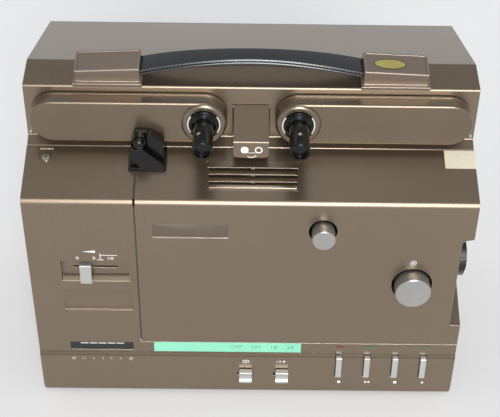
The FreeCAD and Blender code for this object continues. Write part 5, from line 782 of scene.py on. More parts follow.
def make_tape(look):
    """Yellowed paper tape over the right end of the ledge and down the side."""
    slope = math.radians(PLANES["ledge"][2])
    tape = bar_between(look.tape_left, look.tape_right, look.tape_low, look.tape_high)
    edit_edges(tape, lambda a, b: min(a.x, b.x) > look.tape_right - 0.1 * MM)
    down = look.tape_drop
    bpy.ops.mesh.extrude_region_move(TRANSFORM_OT_translate={
        "value": (0, -down * math.sin(slope), -down * math.cos(slope))})
    bpy.ops.mesh.select_all(action="SELECT")
    bpy.ops.mesh.subdivide(number_cuts=7)
    bpy.ops.mesh.normals_make_consistent(inside=False)
    bpy.ops.object.mode_set(mode="OBJECT")
    if tape.data.polygons[0].normal.z < 0:
        edit_all(tape)
        bpy.ops.mesh.flip_normals()
        bpy.ops.object.mode_set(mode="OBJECT")
    paper = finish_material("paper tape", linear(196, 188, 166), linear(212, 205, 186), 0.6,
                            grain=420.0, drift_scale=60.0, bump=0.4, bump_depth=0.00008,
                            dust=0.3)
    print_marks("paper_tape", [tape], "ledge", paper, body="cover", depth=0.15, lift=0.03)


def make_sticker(look):
    """Bare oval gold sticker with a dark rim on the right handle cap."""
    point, normal = touch("handle_caps", look.sticker_spot, (0, 0, -1))
    gold = finish_material("gold foil", linear(176, 160, 98), linear(200, 184, 112), 0.35,
                           metallic=0.6, grain=300.0, bump=0.15)
    dark = print_ink("sticker rim", look.sticker_rim)
    face = thicken(disc(0, 0, 19.6, 8.0, corners=64), 0.14)
    rim = thicken(disc(0, 0, 20.8, 9.2, corners=64, rim=0.7), 0.13)
    for name, piece, ink in (("gold_sticker", face, gold), ("gold_sticker_rim", rim, dark)):
        piece.name = name
        piece.data.name = name
        lay_at(piece, point, normal, 0.02)
        dress(piece, ink)
        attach(piece, "case")


def make_washers(look):
    """Washer seen on both sides of each spindle collar; its near-white colour is partly painted
    reflection.
    """
    metal = finish_material("washer painted reflection", linear(214, 214, 206), linear(232, 232, 224), 0.35,
                            metallic=0.3, grain=500.0)
    cut_off = 0.62 * look.washer_r
    for side, x in (("left", -look.spindle_x), ("right", look.spindle_x)):
        washer = disc(0, 0, 2 * look.washer_r / MM, corners=72, rim=0.9)
        washer.name = "washer_" + side
        washer.data.name = washer.name
        edit_corners(washer, lambda co: abs(co.y) > cut_off)
        bpy.ops.mesh.delete(type="VERT")
        bpy.ops.object.mode_set(mode="OBJECT")
        thicken(washer, 0.5)
        washer.rotation_euler = (math.pi / 2, 0, 0)
        washer.location = (x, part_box("arm_ring_" + side)[0].y + 0.8 * MM, look.spindle_z)
        bake_place(washer)
        soften(washer, 0.15)
        dress(washer, metal)
        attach(washer, side + "_arm")


def make_seam_trim(look):
    """Dark sheet of painted shade in the seam beside the front cover, and the plated pin at its
    lower end.
    """
    sides = look.seam_left, look.seam_right
    shade_sheet = finish_material("seam painted shade", linear(54, 46, 38), linear(66, 57, 48), 0.6,
                            grain=600.0, bump=0.2)
    upright = bar_between(*sides, look.seam_foot, look.seam_head)
    print_marks("seam_shade_front", [upright], "front", shade_sheet, depth=0.6, lift=-1.1)
    slope = bar_between(*sides, look.seam_start, look.seam_end)
    print_marks("seam_shade_ledge", [slope], "ledge", shade_sheet, depth=0.6, lift=-1.1)
    bpy.ops.mesh.primitive_cylinder_add(vertices=24, radius=0.9 * MM, depth=1.2 * MM,
                                        rotation=(math.pi / 2, 0, 0),
                                        location=(look.pin_x, FRONT_Y, look.pin_z))
    pin = bake_place(start("seam_pin"))
    soften(pin, 0.3, steps=3)
    dress(pin, finish_material("plated pin", linear(150, 146, 138), linear(190, 186, 178), 0.3,
                               metallic=0.9, grain=500.0, edge=0.0002))
    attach(pin, "case")


def make_blank_outline(look):
    """Shaded groove round the blank panel under the volume slot."""
    outline = bar_between(look.blank_left, look.blank_right, look.blank_bottom, look.blank_top,
                          rounding=0.8)
    edit_all(outline)
    bpy.ops.mesh.inset(thickness=0.32 * MM)
    bpy.ops.mesh.delete(type="FACE")
    bpy.ops.object.mode_set(mode="OBJECT")
    print_marks("blank_outline", [outline], "front",
                print_ink("groove shade", linear(84, 74, 62)), depth=0.03, lift=0.01)


def make_vent_trim(look):
    """Bead along the front lip of the vent, ribs between its slats, closed strip above them; the
    pale paint of bead and ribs is painted highlight.
    """
    middle, lip, wide = look.vent_middle / MM, look.vent_lip / MM, look.vent_wide / MM
    paint = finish_material("bead painted highlight", look.bead_highlight_dark, look.bead_highlight_light, 0.25, metallic=0.9,
                            grain=1500.0, bump=0.03, bump_depth=0.00001)
    bead = bar(middle, lip, wide, 2.2, rounding=0.3)
    print_marks("vent_bead", [bead], "ledge", paint, body="cover", depth=1.0, lift=-0.55)
    soften(bead, 0.75, steps=5)
    ribs = [bar(middle, lip + 3.7 + look.vent_pitch / MM * i, 2.6, 1.3) for i in range(3)]
    print_marks("vent_ribs", ribs, "ledge", paint, body="cover", depth=0.6, lift=-0.75)
    top = bar(middle, look.vent_top / MM, wide + 2.6, 4.4)
    ledge_paint = frame["nodes"]["front_cover"].data.materials[0]
    print_marks("vent_top", [top], "ledge", ledge_paint, body="cover", depth=0.5, lift=-0.42)


def make_ledge_bead(look):
    """Thin bead, its pale paint a painted highlight, where the ledge meets the foot of the upper
    wall.
    """
    bead = bar(0, look.ledge_back / MM, look.ledge_wide / MM, 0.8)
    paint = bpy.data.materials["bead painted highlight"]
    print_marks("ledge_bead", [bead], "ledge", paint, depth=0.6, lift=0.02)
    soften(bead, 0.3, steps=3)


def make_volume_sill(look):
    """Sloping sill along the foot of the volume recess."""
    sill = bar_between(look.volume_left, look.volume_right, 0.0, look.volume_rise)
    paint = frame["nodes"]["main_housing"].data.materials[0]
    print_marks("volume_sill", [sill], "volume_sill", paint, depth=0.4, lift=-0.4)


def make_screw_cross(look):
    """Dark cross of painted shade standing for the recess in the head of the ledge screw."""
    point, normal = touch("housing_screws", look.ledge_screw, (0, 0.379, -0.925))
    marks = [bar(0, 0, 3.0, 0.62, rounding=0.1), bar(0, 0, 0.62, 3.0, rounding=0.1)]
    cross = thicken(join_pieces("screw_cross", marks), 0.04)
    lay_at(cross, point, normal, 0.01)
    dress(cross, print_ink("recess shade", linear(28, 26, 24)))
    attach(cross, "case")


def make_floor(look):
    """Pale floor with a faint cloud in its colour."""
    deselect()
    bpy.ops.mesh.primitive_plane_add(size=FLOOR_SIDE, location=(0, 0, 0))
    floor = start("floor")
    material = bpy.data.materials.new("pale paper floor")
    material.use_nodes = True
    tree = material.node_tree
    shader = tree.nodes["Principled BSDF"]
    shader.inputs["Specular IOR Level"].default_value = 0.2
    shader.inputs["Roughness"].default_value = 0.8
    where = node(tree, "ShaderNodeTexCoord", (-900, 0))
    cloud = node(tree, "ShaderNodeTexNoise", (-700, 0), Scale=3.0, Detail=4.0)
    tint = node(tree, "ShaderNodeMix", (-400, 0), data_type="RGBA")
    tint.inputs[COLOUR_A].default_value = (*look.floor_colour, 1)
    tint.inputs[COLOUR_B].default_value = (*[FLOOR_SHADE * c for c in look.floor_colour], 1)
    join(tree, where.outputs["Object"], cloud.inputs["Vector"])
    join(tree, cloud.outputs["Fac"], tint.inputs[0])
    join(tree, tint.outputs[COLOUR_OUT], shader.inputs["Base Color"])
    dress(floor, material)


def make_room(look):
    """Plain surroundings that light the scene, less from above than from all round."""
    world = bpy.data.worlds.new("Studio")
    bpy.context.scene.world = world
    world.use_nodes = True
    tree = world.node_tree
    back = tree.nodes["Background"]
    back.inputs["Color"].default_value = (*look.room_colour, 1)
    where = node(tree, "ShaderNodeTexCoord", (-900, 0))
    split = node(tree, "ShaderNodeSeparateXYZ", (-700, 0))
    low = node(tree, "ShaderNodeMath", (-500, 0), operation="SUBTRACT", use_clamp=True)
    low.inputs[0].default_value = 1.0
    curve = node(tree, "ShaderNodeMath", (-350, 0), operation="POWER")
    curve.inputs[1].default_value = look.room_curve
    level = node(tree, "ShaderNodeMapRange", (-200, 0))
    level.inputs["To Min"].default_value = look.room_top
    level.inputs["To Max"].default_value = look.room_low
    join(tree, where.outputs["Generated"], split.inputs[0])
    join(tree, split.outputs["Z"], low.inputs[1])
    join(tree, low.outputs[0], curve.inputs[0])
    join(tree, curve.outputs[0], level.inputs["Value"])
    join(tree, level.outputs[0], back.inputs["Strength"])


def make_lamps(look):
    """Three wide lamps at the front, one over the other, and a faint one overhead."""
    step = LAMP_STEP * look.key_spread
    lamps = [("key_" + str(i + 1), look.key_height + step * (i - 1), look.key_side,
              look.key_power, look.key_spread) for i in range(3)]
    lamps.append(("above", look.above_height, look.above_side, look.above_power,
                  look.above_spread))
    for name, height, side, power, spread in lamps:
        aim = Vector((math.sin(side) * math.cos(height), -math.cos(side) * math.cos(height),
                      math.sin(height)))
        bpy.ops.object.light_add(type="SUN", location=aim)
        lamp = bpy.context.active_object
        lamp.name = "lamp_" + name
        lamp.data.energy = power
        lamp.data.angle = spread
        lamp.rotation_euler = aim.to_track_quat("Z", "Y").to_euler()


def make_camera(look):
    """The picture's camera, from its place and three angles; colours are shown as they are."""
    bpy.ops.object.camera_add(location=look.camera_place)
    camera = bpy.context.active_object
    camera.name = "camera"
    pitch, yaw, roll = look.camera_pitch, look.camera_yaw, look.camera_roll
    ahead = Vector((math.sin(yaw) * math.cos(pitch), math.cos(yaw) * math.cos(pitch),
                    -math.sin(pitch)))
    side = Vector((math.cos(yaw), -math.sin(yaw), 0))
    above = side.cross(ahead)
    right = side * math.cos(roll) + above * math.sin(roll)
    up = above * math.cos(roll) - side * math.sin(roll)
    camera.rotation_euler = Matrix((right, up, -ahead)).transposed().to_euler()
    camera.data.sensor_width = 36.0
    camera.data.lens = look.camera_lens
    camera.data.clip_start = 0.01
    bpy.context.scene.camera = camera
    bpy.context.scene.view_settings.view_transform = "Standard"


class PROJECTOR_PG_stage(bpy.types.PropertyGroup):
    floor_colour: bpy.props.FloatVectorProperty(
        name="Floor", description="Colour of the floor", size=3, subtype="COLOR",
        default=linear(234, 234, 235), min=0, max=1)
    room_colour: bpy.props.FloatVectorProperty(
        name="Room", description="Colour of the light from all round", size=3, subtype="COLOR",
        default=(0.98, 0.99, 1.0), min=0, max=1)
    room_top: bpy.props.FloatProperty(
        name="Room above", description="Light from straight above", default=0.42, min=0)
    room_low: bpy.props.FloatProperty(
        name="Room round", description="Light from the level of the floor", default=0.86, min=0)
    room_curve: bpy.props.FloatProperty(
        name="Room fall", description="How fast the light falls off with height", default=1.5,
        min=0.1)
    key_power: bpy.props.FloatProperty(
        name="Key", description="Strength of each of the three lamps at the front", default=1.2,
        min=0)
    key_spread: bpy.props.FloatProperty(
        name="Key spread", description="Width of each front lamp", subtype="ANGLE",
        default=math.radians(22))
    key_height: bpy.props.FloatProperty(
        name="Key height", description="Height of the middle front lamp", subtype="ANGLE",
        default=math.radians(27))
    key_side: bpy.props.FloatProperty(
        name="Key side", description="How far the front lamps stand to the right",
        subtype="ANGLE", default=math.radians(5))
    above_power: bpy.props.FloatProperty(
        name="Above", description="Strength of the lamp overhead", default=0.05, min=0)
    above_spread: bpy.props.FloatProperty(
        name="Above spread", description="Width of the lamp overhead", subtype="ANGLE",
        default=math.radians(16))
    above_height: bpy.props.FloatProperty(
        name="Above height", description="Height of the lamp overhead", subtype="ANGLE",
        default=math.radians(96))
    above_side: bpy.props.FloatProperty(
        name="Above side", description="How far the lamp overhead stands to the side",
        subtype="ANGLE", default=0.0)
    camera_place: bpy.props.FloatVectorProperty(
        name="Camera place", description="Where the camera stands", size=3, unit="LENGTH",
        subtype="TRANSLATION", default=(-0.0052, -0.6490, 0.5939))
    camera_pitch: bpy.props.FloatProperty(
        name="Camera pitch", description="How far the camera looks down", subtype="ANGLE",
        default=math.radians(37.0))
    camera_yaw: bpy.props.FloatProperty(
        name="Camera yaw", description="How far the camera looks to the right", subtype="ANGLE",
        default=math.radians(0.5))
    camera_roll: bpy.props.FloatProperty(
        name="Camera roll", description="How far the camera leans", subtype="ANGLE",
        default=math.radians(0.94))
    camera_lens: bpy.props.FloatProperty(
        name="Lens", description="Focal length on a 36 mm sensor", default=81.55, min=1,
        unit="CAMERA")


class PROJECTOR_OT_stage(bpy.types.Operator):
    """Make the floor, lamps, surroundings and camera"""
    bl_idname = "projector.stage"
    bl_label = "Stage"

    def execute(self, context):
        look = context.scene.projector_stage
        make_floor(look)
        make_room(look)
        make_lamps(look)
        make_camera(look)
        return {"FINISHED"}


class PROJECTOR_PG_finish(bpy.types.PropertyGroup):
    paint_dark: bpy.props.FloatVectorProperty(
        name="Paint, dark", description="Darker flake of the bronze paint", size=3,
        subtype="COLOR", default=linear(122, 108, 91), min=0, max=1)
    paint_light: bpy.props.FloatVectorProperty(
        name="Paint, light", description="Lighter flake of the bronze paint", size=3,
        subtype="COLOR", default=linear(132, 117, 99), min=0, max=1)


def paint_nodes(look):
    """One material for each record slot, given to the CAD nodes that have it."""
    bronze = dict(dark=look.paint_dark, light=look.paint_light, metallic=0.9, grain=1500.0,
                  drift=0.35, bump=0.0, roughness_spread=0.0, coat=0.5)
    # Pale colour along the bronze's sharp edges: painted highlight, standing for light caught on
    # rounded edges
    wear_and_sheen = dict(edge=0.0005, edge_colour=linear(226, 216, 202), edge_gain=1.6)
    black = dict(edge=0.0003, edge_colour=linear(58, 58, 58), edge_gain=1.2, specular=0.35)
    made = {
        "case_paint": finish_material("bronze case paint", roughness=0.34, dust=0.25, **bronze,
                                      **wear_and_sheen),
        # fold=True lays painted shade on the fold above the key strip
        "panel_paint": finish_material("bronze panel paint", roughness=0.35, dust=0.12, fold=True,
                                       **bronze, **wear_and_sheen),
        "rear_paint": finish_material("black crackle paint", linear(30, 30, 31), linear(40, 40, 41),
                                      0.6, grain=700.0, bump=0.5, bump_depth=0.0001, edge=0.0004,
                                      edge_colour=linear(70, 70, 70), edge_gain=1.5, dust=0.4),
        "zinc_sheet": finish_material("zinc sheet", linear(168, 170, 172), linear(190, 192, 193),
                                      0.35, metallic=0.9, grain=60.0, edge=0.0003),
        "foot_rubber": finish_material("foot rubber", linear(28, 28, 28), linear(38, 38, 38), 0.75,
                                       grain=500.0, bump=0.4, bump_depth=0.0001, dust=0.8),
        # The mounts' pale edge colour is painted highlight
        "mount_plastic": finish_material("bronze mount plastic", linear(128, 116, 105),
                                         linear(142, 129, 117), 0.36, metallic=0.7, grain=1100.0,
                                         bump=0.3, bump_depth=0.00003, edge=0.0005,
                                         edge_colour=linear(222, 212, 200), edge_gain=3.0,
                                         dust=0.15),
        "strap_leather": finish_material("strap leather", linear(20, 21, 24), linear(34, 36, 41),
                                         0.22, grain=700.0, bump=0.2, bump_depth=0.00006,
                                         drift=0.3, roughness_spread=0.06, specular=0.9),
        "arm_plastic": finish_material("bronze arm paint", linear(112, 99, 83),
                                       linear(122, 108, 91), 0.31, metallic=0.9, grain=20.0,
                                       drift=0.35, bump=0.0, roughness_spread=0.0, coat=0.35,
                                       **dict(wear_and_sheen, edge_gain=3.5)),
        "black_plastic": finish_material("black plastic", linear(7, 7, 7), linear(13, 13, 13),
                                         0.22, grain=500.0, bump=0.12, dust=0.3, **black),
        "window_plastic": finish_material("dark window", linear(24, 27, 29), linear(32, 35, 37),
                                          0.2, grain=80.0, bump=0.05, edge=0.0003),
        # The near-white edge colour of the knobs is painted highlight
        "bright_knob": finish_material("spun aluminium", linear(160, 159, 155),
                                       linear(176, 175, 171), 0.34, metallic=0.85, grain=900.0,
                                       bump=0.15, edge=0.0003, edge_colour=linear(232, 231, 228),
                                       edge_gain=1.5),
        # The near-white edge colour of the keys is painted highlight
        "bright_key": finish_material("satin key", linear(178, 179, 176), linear(190, 191, 188),
                                      0.32, metallic=0.7, grain=900.0, bump=0.15, edge=0.0003,
                                      edge_colour=linear(236, 236, 232), edge_gain=1.5),
        "ball_steel": finish_material("polished ball", linear(205, 205, 207), linear(225, 225, 227),
                                      0.08, metallic=1.0, grain=300.0, bump=0.02),
        "bush_brass": finish_material("turned brass", linear(176, 142, 78), linear(196, 160, 92),
                                      0.3, metallic=1.0, grain=300.0, bump=0.2),
        "screw_steel": finish_material("plated screws", linear(176, 174, 168),
                                       linear(200, 198, 192), 0.28, metallic=0.95, grain=500.0,
                                       bump=0.15, edge=0.0002),
        "shaft_steel": finish_material("ground steel", linear(168, 168, 168), linear(190, 190, 190),
                                       0.25, metallic=1.0, grain=300.0, bump=0.1, edge=0.0002),
        "fly_iron": finish_material("turned iron", linear(118, 118, 120), linear(140, 140, 142),
                                    0.38, metallic=0.9, grain=300.0, bump=0.2, edge=0.0003),
        "lamp_glass": glass_material("lamp glass", (0.96, 0.97, 0.98), 0.03, 0.9),
        "lens_glass": glass_material("coated lens glass", (0.30, 0.34, 0.55), 0.02, 0.6),
        "lens_black": finish_material("black lens paint", linear(15, 15, 16), linear(24, 24, 25),
                                      0.34, grain=600.0, bump=0.1, edge=0.0002,
                                      edge_colour=linear(76, 76, 76), edge_gain=1.2),
        "belt_rubber": finish_material("belt rubber", linear(26, 26, 26), linear(36, 36, 36), 0.7,
                                       grain=400.0, bump=0.3),
        "board_green": finish_material("circuit board", linear(36, 74, 44), linear(48, 92, 56), 0.4,
                                       grain=120.0, bump=0.2, edge=0.0002),
        "coil_steel": finish_material("laminated core", linear(96, 90, 86), linear(120, 112, 106),
                                      0.5, metallic=0.6, grain=200.0, bump=0.3),
        "motor_steel": finish_material("motor steel", linear(150, 150, 146), linear(174, 174, 168),
                                       0.35, metallic=0.9, grain=200.0, bump=0.15, edge=0.0003),
        "paper_black": finish_material("speaker paper", linear(40, 40, 40), linear(54, 54, 54), 0.8,
                                       grain=500.0, bump=0.6, bump_depth=0.0002),
        "roller_rubber": finish_material("roller rubber", linear(34, 34, 34), linear(46, 46, 46),
                                         0.6, grain=400.0, bump=0.2),
    }
    for part in frame["record"]["subparts"]:
        dress(frame["nodes"][part["node"]], made[part["material_slot"]])


class PROJECTOR_OT_paint(bpy.types.Operator):
    """Give every solid of the projector its finish"""
    bl_idname = "projector.paint"
    bl_label = "Finishes"

    def execute(self, context):
        paint_nodes(context.scene.projector_finish)
        return {"FINISHED"}


class PROJECTOR_PG_strap(bpy.types.PropertyGroup):
    strap_reach: bpy.props.FloatProperty(
        name="Reach", description="Distance between the ends of the strap", default=0.1456,
        min=0.02, unit="LENGTH")
    strap_rise: bpy.props.FloatProperty(
        name="Rise", description="Height of the bow over its ends", default=0.0095, min=0.001,
        unit="LENGTH")
    strap_foot: bpy.props.FloatProperty(
        name="Foot", description="Height of the ends over the top", default=0.0042, min=0,
        unit="LENGTH")
    strap_front: bpy.props.FloatProperty(
        name="Front edge", description="Distance of the front edge behind the top's front edge",
        default=0.0045, min=0, unit="LENGTH")
    strap_back: bpy.props.FloatProperty(
        name="Back edge", description="Distance of the back edge behind the top's front edge",
        default=0.0188, min=0, unit="LENGTH")
    strap_thick: bpy.props.FloatProperty(
        name="Thickness", description="Thickness of both layers", default=0.0044, min=0.001,
        unit="LENGTH")
    strap_pad: bpy.props.FloatProperty(
        name="Padding", description="Depth of the padding under the middle", default=0.0030,
        min=0, unit="LENGTH")
    strap_waist: bpy.props.FloatProperty(
        name="Waist", description="Width of the middle as a share of the ends", default=0.80,
        min=0.3, max=1)
    strap_stitches: bpy.props.IntProperty(
        name="Stitches", description="Stitches along each half of the front edge", default=24,
        min=2)
    bow_radius: bpy.props.FloatProperty(
        name="Bow radius", description="Radius of the bow, worked out from reach and rise",
        default=0.2837, min=0.001, unit="LENGTH")
    bow_half: bpy.props.FloatProperty(
        name="Bow half angle", description="Half the angle of the bow, worked out likewise",
        default=math.radians(14.9), min=0, subtype="ANGLE")


class PROJECTOR_PG_print(bpy.types.PropertyGroup):
    white: bpy.props.FloatVectorProperty(
        name="White", description="White print", size=3, subtype="COLOR",
        default=linear(232, 231, 228), min=0, max=1)
    pale: bpy.props.FloatVectorProperty(
        name="Pale", description="Bars of the level meter", size=3, subtype="COLOR",
        default=linear(176, 175, 170), min=0, max=1)
    faint: bpy.props.FloatVectorProperty(
        name="Faint", description="Figures of the level scale", size=3, subtype="COLOR",
        default=linear(178, 168, 154), min=0, max=1)
    mint: bpy.props.FloatVectorProperty(
        name="Mint", description="Ground of the label above the switches", size=3,
        subtype="COLOR", default=linear(128, 202, 173), min=0, max=1)
    mint_dark: bpy.props.FloatVectorProperty(
        name="Mint words", description="Words of the label above the switches", size=3,
        subtype="COLOR", default=linear(92, 142, 126), min=0, max=1)
    red: bpy.props.FloatVectorProperty(
        name="Red", description="Light above the first key", size=3, subtype="COLOR",
        default=linear(112, 58, 50), min=0, max=1)
    green: bpy.props.FloatVectorProperty(
        name="Green", description="Lights above the second and fourth keys", size=3,
        subtype="COLOR", default=linear(62, 108, 78), min=0, max=1)


class PROJECTOR_PG_trim(bpy.types.PropertyGroup):
    volume_left: bpy.props.FloatProperty(
        name="Volume left", description="Left end of the sill in the volume recess",
        default=-0.1238, unit="LENGTH")
    volume_right: bpy.props.FloatProperty(
        name="Volume right", description="Right end of the sill in the volume recess",
        default=-0.0792, unit="LENGTH")
    volume_rise: bpy.props.FloatProperty(
        name="Volume sill", description="Width of the sill, up its slope", default=0.0032,
        min=0.001, unit="LENGTH")
    plate_left: bpy.props.FloatProperty(
        name="Plate left", description="Left end of the bare name plate", default=-0.0624,
        unit="LENGTH")
    plate_right: bpy.props.FloatProperty(
        name="Plate right", description="Right end of the bare name plate", default=-0.0145,
        unit="LENGTH")
    plate_bottom: bpy.props.FloatProperty(
        name="Plate bottom", description="Height of the plate's lower edge", default=0.1396,
        unit="LENGTH")
    plate_top: bpy.props.FloatProperty(
        name="Plate top", description="Height of the plate's upper edge", default=0.1504,
        unit="LENGTH")
    tape_left: bpy.props.FloatProperty(
        name="Tape left", description="Left end of the tape on the ledge", default=0.1252,
        unit="LENGTH")
    tape_right: bpy.props.FloatProperty(
        name="Tape fold", description="Where the tape folds down the side", default=0.1451,
        unit="LENGTH")
    tape_low: bpy.props.FloatProperty(
        name="Tape front", description="Front edge of the tape, up the slope of the ledge",
        default=0.0276, unit="LENGTH")
    tape_high: bpy.props.FloatProperty(
        name="Tape back", description="Back edge of the tape, up the slope of the ledge",
        default=0.0414, unit="LENGTH")
    tape_drop: bpy.props.FloatProperty(
        name="Tape drop", description="How far the tape goes down the side", default=0.007,
        min=0, unit="LENGTH")
    sticker_spot: bpy.props.FloatVectorProperty(
        name="Sticker spot", description="Millimetres across, behind the front and above the cap",
        size=3, default=(87.2, 54.7, 260.0))
    sticker_rim: bpy.props.FloatVectorProperty(
        name="Sticker rim", description="Dark rim of the oval sticker", size=3, subtype="COLOR",
        default=linear(60, 52, 32), min=0, max=1)
    spindle_x: bpy.props.FloatProperty(
        name="Spindle", description="Distance of each spindle from the middle", default=0.03,
        unit="LENGTH")
    spindle_z: bpy.props.FloatProperty(
        name="Spindle height", description="Height of the spindles", default=0.2051,
        unit="LENGTH")
    seam_left: bpy.props.FloatProperty(
        name="Seam left", description="Left side of the seam", default=-0.07433, unit="LENGTH")
    seam_right: bpy.props.FloatProperty(
        name="Seam right", description="Right side of the seam", default=-0.07307,
        unit="LENGTH")
    seam_foot: bpy.props.FloatProperty(
        name="Seam foot", description="Height of the seam's lower end on the front",
        default=0.0474, unit="LENGTH")
    seam_head: bpy.props.FloatProperty(
        name="Seam head", description="Height of the seam's upper end on the front",
        default=0.1632, unit="LENGTH")
    seam_start: bpy.props.FloatProperty(
        name="Seam start", description="Where the seam begins, up the ledge", default=0.003,
        unit="LENGTH")
    seam_end: bpy.props.FloatProperty(
        name="Seam end", description="Where the seam meets the film guide, up the ledge",
        default=0.0235, unit="LENGTH")
    pin_x: bpy.props.FloatProperty(
        name="Pin", description="Place of the seam's pin across the front", default=-0.0741,
        unit="LENGTH")
    pin_z: bpy.props.FloatProperty(
        name="Pin height", description="Height of the seam's pin", default=0.049,
        unit="LENGTH")
    blank_left: bpy.props.FloatProperty(
        name="Blank left", description="Left side of the blank panel", default=-0.1246,
        unit="LENGTH")
    blank_right: bpy.props.FloatProperty(
        name="Blank right", description="Right side of the blank panel", default=-0.0783,
        unit="LENGTH")
    blank_bottom: bpy.props.FloatProperty(
        name="Blank bottom", description="Height of the blank panel's lower edge",
        default=0.0755, unit="LENGTH")
    blank_top: bpy.props.FloatProperty(
        name="Blank top", description="Height of the blank panel's upper edge", default=0.0932,
        unit="LENGTH")
    vent_middle: bpy.props.FloatProperty(
        name="Vent middle", description="Middle of the vent across the front", default=0.0015,
        unit="LENGTH")
    vent_wide: bpy.props.FloatProperty(
        name="Vent width", description="Length of the bead along the vent", default=0.0561,
        unit="LENGTH")
    vent_lip: bpy.props.FloatProperty(
        name="Vent lip", description="Front lip of the vent, up the slope of the ledge",
        default=0.0121, unit="LENGTH")
    vent_pitch: bpy.props.FloatProperty(
        name="Vent pitch", description="Distance from one rib of the vent to the next",
        default=0.0052, min=0.001, unit="LENGTH")
    vent_top: bpy.props.FloatProperty(
        name="Vent top", description="Middle of the closed strip above the slats, up the slope",
        default=0.02855, unit="LENGTH")
    ledge_back: bpy.props.FloatProperty(
        name="Ledge back", description="Bead at the foot of the wall, up the slope of the ledge",
        default=0.04205, unit="LENGTH")
    ledge_wide: bpy.props.FloatProperty(
        name="Ledge width", description="Length of the bead at the foot of the wall",
        default=0.2892, min=0.01, unit="LENGTH")
    # Pale colours of the vent bead, its ribs and the ledge bead: painted highlight
    bead_highlight_dark: bpy.props.FloatVectorProperty(
        name="Bead, dark", description="Darker flake of the vent bead", size=3, subtype="COLOR",
        default=linear(168, 156, 142), min=0, max=1)
    bead_highlight_light: bpy.props.FloatVectorProperty(
        name="Bead, light", description="Lighter flake of the vent bead", size=3,
        subtype="COLOR", default=linear(182, 170, 156), min=0, max=1)
    washer_r: bpy.props.FloatProperty(
        name="Washer", description="Outer radius of the washers", default=0.01055, min=0.001,
        unit="LENGTH")
    ledge_screw: bpy.props.FloatVectorProperty(
        name="Ledge screw", description="Millimetres across, behind the front and above the head",
        size=3, default=(-131.7, 27.5, 188.0))


class PROJECTOR_OT_strap(bpy.types.Operator):
    """Make the leather strap in two layers between its mounts"""
    bl_idname = "projector.strap"
    bl_label = "Handle strap"

    def execute(self, context):
        make_strap(context.scene.projector_strap)
        return {"FINISHED"}


class PROJECTOR_OT_volume_print(bpy.types.Operator):
    """Print the figures, tick and wedge above the volume slot"""
    bl_idname = "projector.volume_print"
    bl_label = "Volume print"

    def execute(self, context):
        make_volume_print(context.scene.projector_print)
        return {"FINISHED"}


class PROJECTOR_OT_level_print(bpy.types.Operator):
    """Print the bars of the level meter and the scale below it"""
    bl_idname = "projector.level_print"
    bl_label = "Level print"

    def execute(self, context):
        make_level_print(context.scene.projector_print)
        return {"FINISHED"}


class PROJECTOR_OT_mint_label(bpy.types.Operator):
    """Stick on the mint label and print its words"""
    bl_idname = "projector.mint_label"
    bl_label = "Mint label"

    def execute(self, context):
        make_mint_label(context.scene.projector_print)
        return {"FINISHED"}


class PROJECTOR_OT_switch_marks(bpy.types.Operator):
    """Print the symbols above the two slide switches"""
    bl_idname = "projector.switch_marks"
    bl_label = "Switch marks"

    def execute(self, context):
        make_switch_marks(context.scene.projector_print)
        return {"FINISHED"}


class PROJECTOR_OT_key_marks(bpy.types.Operator):
    """Print the symbols under the keys and set the lights above them"""
    bl_idname = "projector.key_marks"
    bl_label = "Key marks"

    def execute(self, context):
        make_key_marks(context.scene.projector_print)
        return {"FINISHED"}


class PROJECTOR_OT_key_nose_print(bpy.types.Operator):
    """Print the reels and the arrow on the centre key"""
    bl_idname = "projector.key_nose_print"
    bl_label = "Centre key print"

    def execute(self, context):
        make_key_nose_print(context.scene.projector_print)
        return {"FINISHED"}


class PROJECTOR_OT_focus_mark(bpy.types.Operator):
    """Print the index spot above the focus knob"""
    bl_idname = "projector.focus_mark"
    bl_label = "Focus mark"

    def execute(self, context):
        make_focus_mark(context.scene.projector_print)
        return {"FINISHED"}


class PROJECTOR_OT_name_plate(bpy.types.Operator):
    """Lay the bare plate in its recess"""
    bl_idname = "projector.name_plate"
    bl_label = "Name plate"

    def execute(self, context):
        make_name_plate(context.scene.projector_trim)
        return {"FINISHED"}


class PROJECTOR_OT_tape(bpy.types.Operator):
    """Stick the paper tape on the right end of the ledge"""
    bl_idname = "projector.tape"
    bl_label = "Paper tape"

    def execute(self, context):
        make_tape(context.scene.projector_trim)
        return {"FINISHED"}


class PROJECTOR_OT_sticker(bpy.types.Operator):
    """Stick the bare oval sticker on the right handle cap"""
    bl_idname = "projector.sticker"
    bl_label = "Gold sticker"

    def execute(self, context):
        make_sticker(context.scene.projector_trim)
        return {"FINISHED"}


class PROJECTOR_OT_washers(bpy.types.Operator):
    """Make the bright washers round the spindle collars"""
    bl_idname = "projector.washers"
    bl_label = "Washers"

    def execute(self, context):
        make_washers(context.scene.projector_trim)
        return {"FINISHED"}


class PROJECTOR_OT_seam_trim(bpy.types.Operator):
    """Fill the seam beside the front cover with a dark sheet of painted shade and set its pin"""
    bl_idname = "projector.seam_trim"
    bl_label = "Seam trim"

    def execute(self, context):
        make_seam_trim(context.scene.projector_trim)
        return {"FINISHED"}


class PROJECTOR_OT_blank_outline(bpy.types.Operator):
    """Shade the groove round the blank panel"""
    bl_idname = "projector.blank_outline"
    bl_label = "Blank outline"

    def execute(self, context):
        make_blank_outline(context.scene.projector_trim)
        return {"FINISHED"}


class PROJECTOR_OT_vent_trim(bpy.types.Operator):
    """Make the bead, the ribs and the closed strip of the vent"""
    bl_idname = "projector.vent_trim"
    bl_label = "Vent trim"

    def execute(self, context):
        make_vent_trim(context.scene.projector_trim)
        return {"FINISHED"}


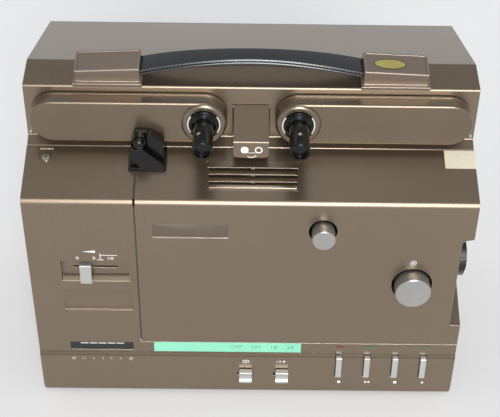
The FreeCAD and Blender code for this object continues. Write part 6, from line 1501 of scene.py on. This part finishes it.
class PROJECTOR_OT_ledge_bead(bpy.types.Operator):
    """Lay the bead at the foot of the upper wall"""
    bl_idname = "projector.ledge_bead"
    bl_label = "Ledge bead"

    def execute(self, context):
        make_ledge_bead(context.scene.projector_trim)
        return {"FINISHED"}


class PROJECTOR_OT_volume_sill(bpy.types.Operator):
    """Make the sloping sill of the volume recess"""
    bl_idname = "projector.volume_sill"
    bl_label = "Volume sill"

    def execute(self, context):
        make_volume_sill(context.scene.projector_trim)
        return {"FINISHED"}


class PROJECTOR_OT_screw_cross(bpy.types.Operator):
    """Lay a dark cross of painted shade on the ledge screw for its recess"""
    bl_idname = "projector.screw_cross"
    bl_label = "Screw cross"

    def execute(self, context):
        make_screw_cross(context.scene.projector_trim)
        return {"FINISHED"}


OPERATORS = (
    PROJECTOR_OT_stage,
    PROJECTOR_OT_paint,
    PROJECTOR_OT_strap,
    PROJECTOR_OT_volume_print,
    PROJECTOR_OT_level_print,
    PROJECTOR_OT_mint_label,
    PROJECTOR_OT_switch_marks,
    PROJECTOR_OT_key_marks,
    PROJECTOR_OT_key_nose_print,
    PROJECTOR_OT_focus_mark,
    PROJECTOR_OT_name_plate,
    PROJECTOR_OT_tape,
    PROJECTOR_OT_sticker,
    PROJECTOR_OT_washers,
    PROJECTOR_OT_seam_trim,
    PROJECTOR_OT_blank_outline,
    PROJECTOR_OT_vent_trim,
    PROJECTOR_OT_ledge_bead,
    PROJECTOR_OT_volume_sill,
    PROJECTOR_OT_screw_cross,
)
SETTINGS = {
    "projector_stage": PROJECTOR_PG_stage,
    "projector_finish": PROJECTOR_PG_finish,
    "projector_strap": PROJECTOR_PG_strap,
    "projector_print": PROJECTOR_PG_print,
    "projector_trim": PROJECTOR_PG_trim,
}


class PROJECTOR_PT_panel(bpy.types.Panel):
    """The projector's pieces"""
    bl_idname = "PROJECTOR_PT_panel"
    bl_label = "Projector"
    bl_space_type = "VIEW_3D"
    bl_region_type = "UI"
    bl_category = "Projector"

    def draw(self, context):
        for operator in OPERATORS:
            self.layout.operator(operator.bl_idname)
        for setting in SETTINGS:
            group = getattr(context.scene, setting)
            box = self.layout.box()
            for key in group.bl_rna.properties.keys():
                if key not in ("rna_type", "name"):
                    box.prop(group, key)


CLASSES = (*SETTINGS.values(), *OPERATORS, PROJECTOR_PT_panel)


def register():
    for one in CLASSES:
        bpy.utils.register_class(one)
    for setting, group in SETTINGS.items():
        setattr(bpy.types.Scene, setting, bpy.props.PointerProperty(type=group))


def unregister():
    for setting in SETTINGS:
        delattr(bpy.types.Scene, setting)
    for one in reversed(CLASSES):
        bpy.utils.unregister_class(one)


def main():
    register()
    for operator in OPERATORS:
        getattr(bpy.ops.projector, operator.bl_idname.split(".")[1])()


if __name__ == "__main__":
    main()
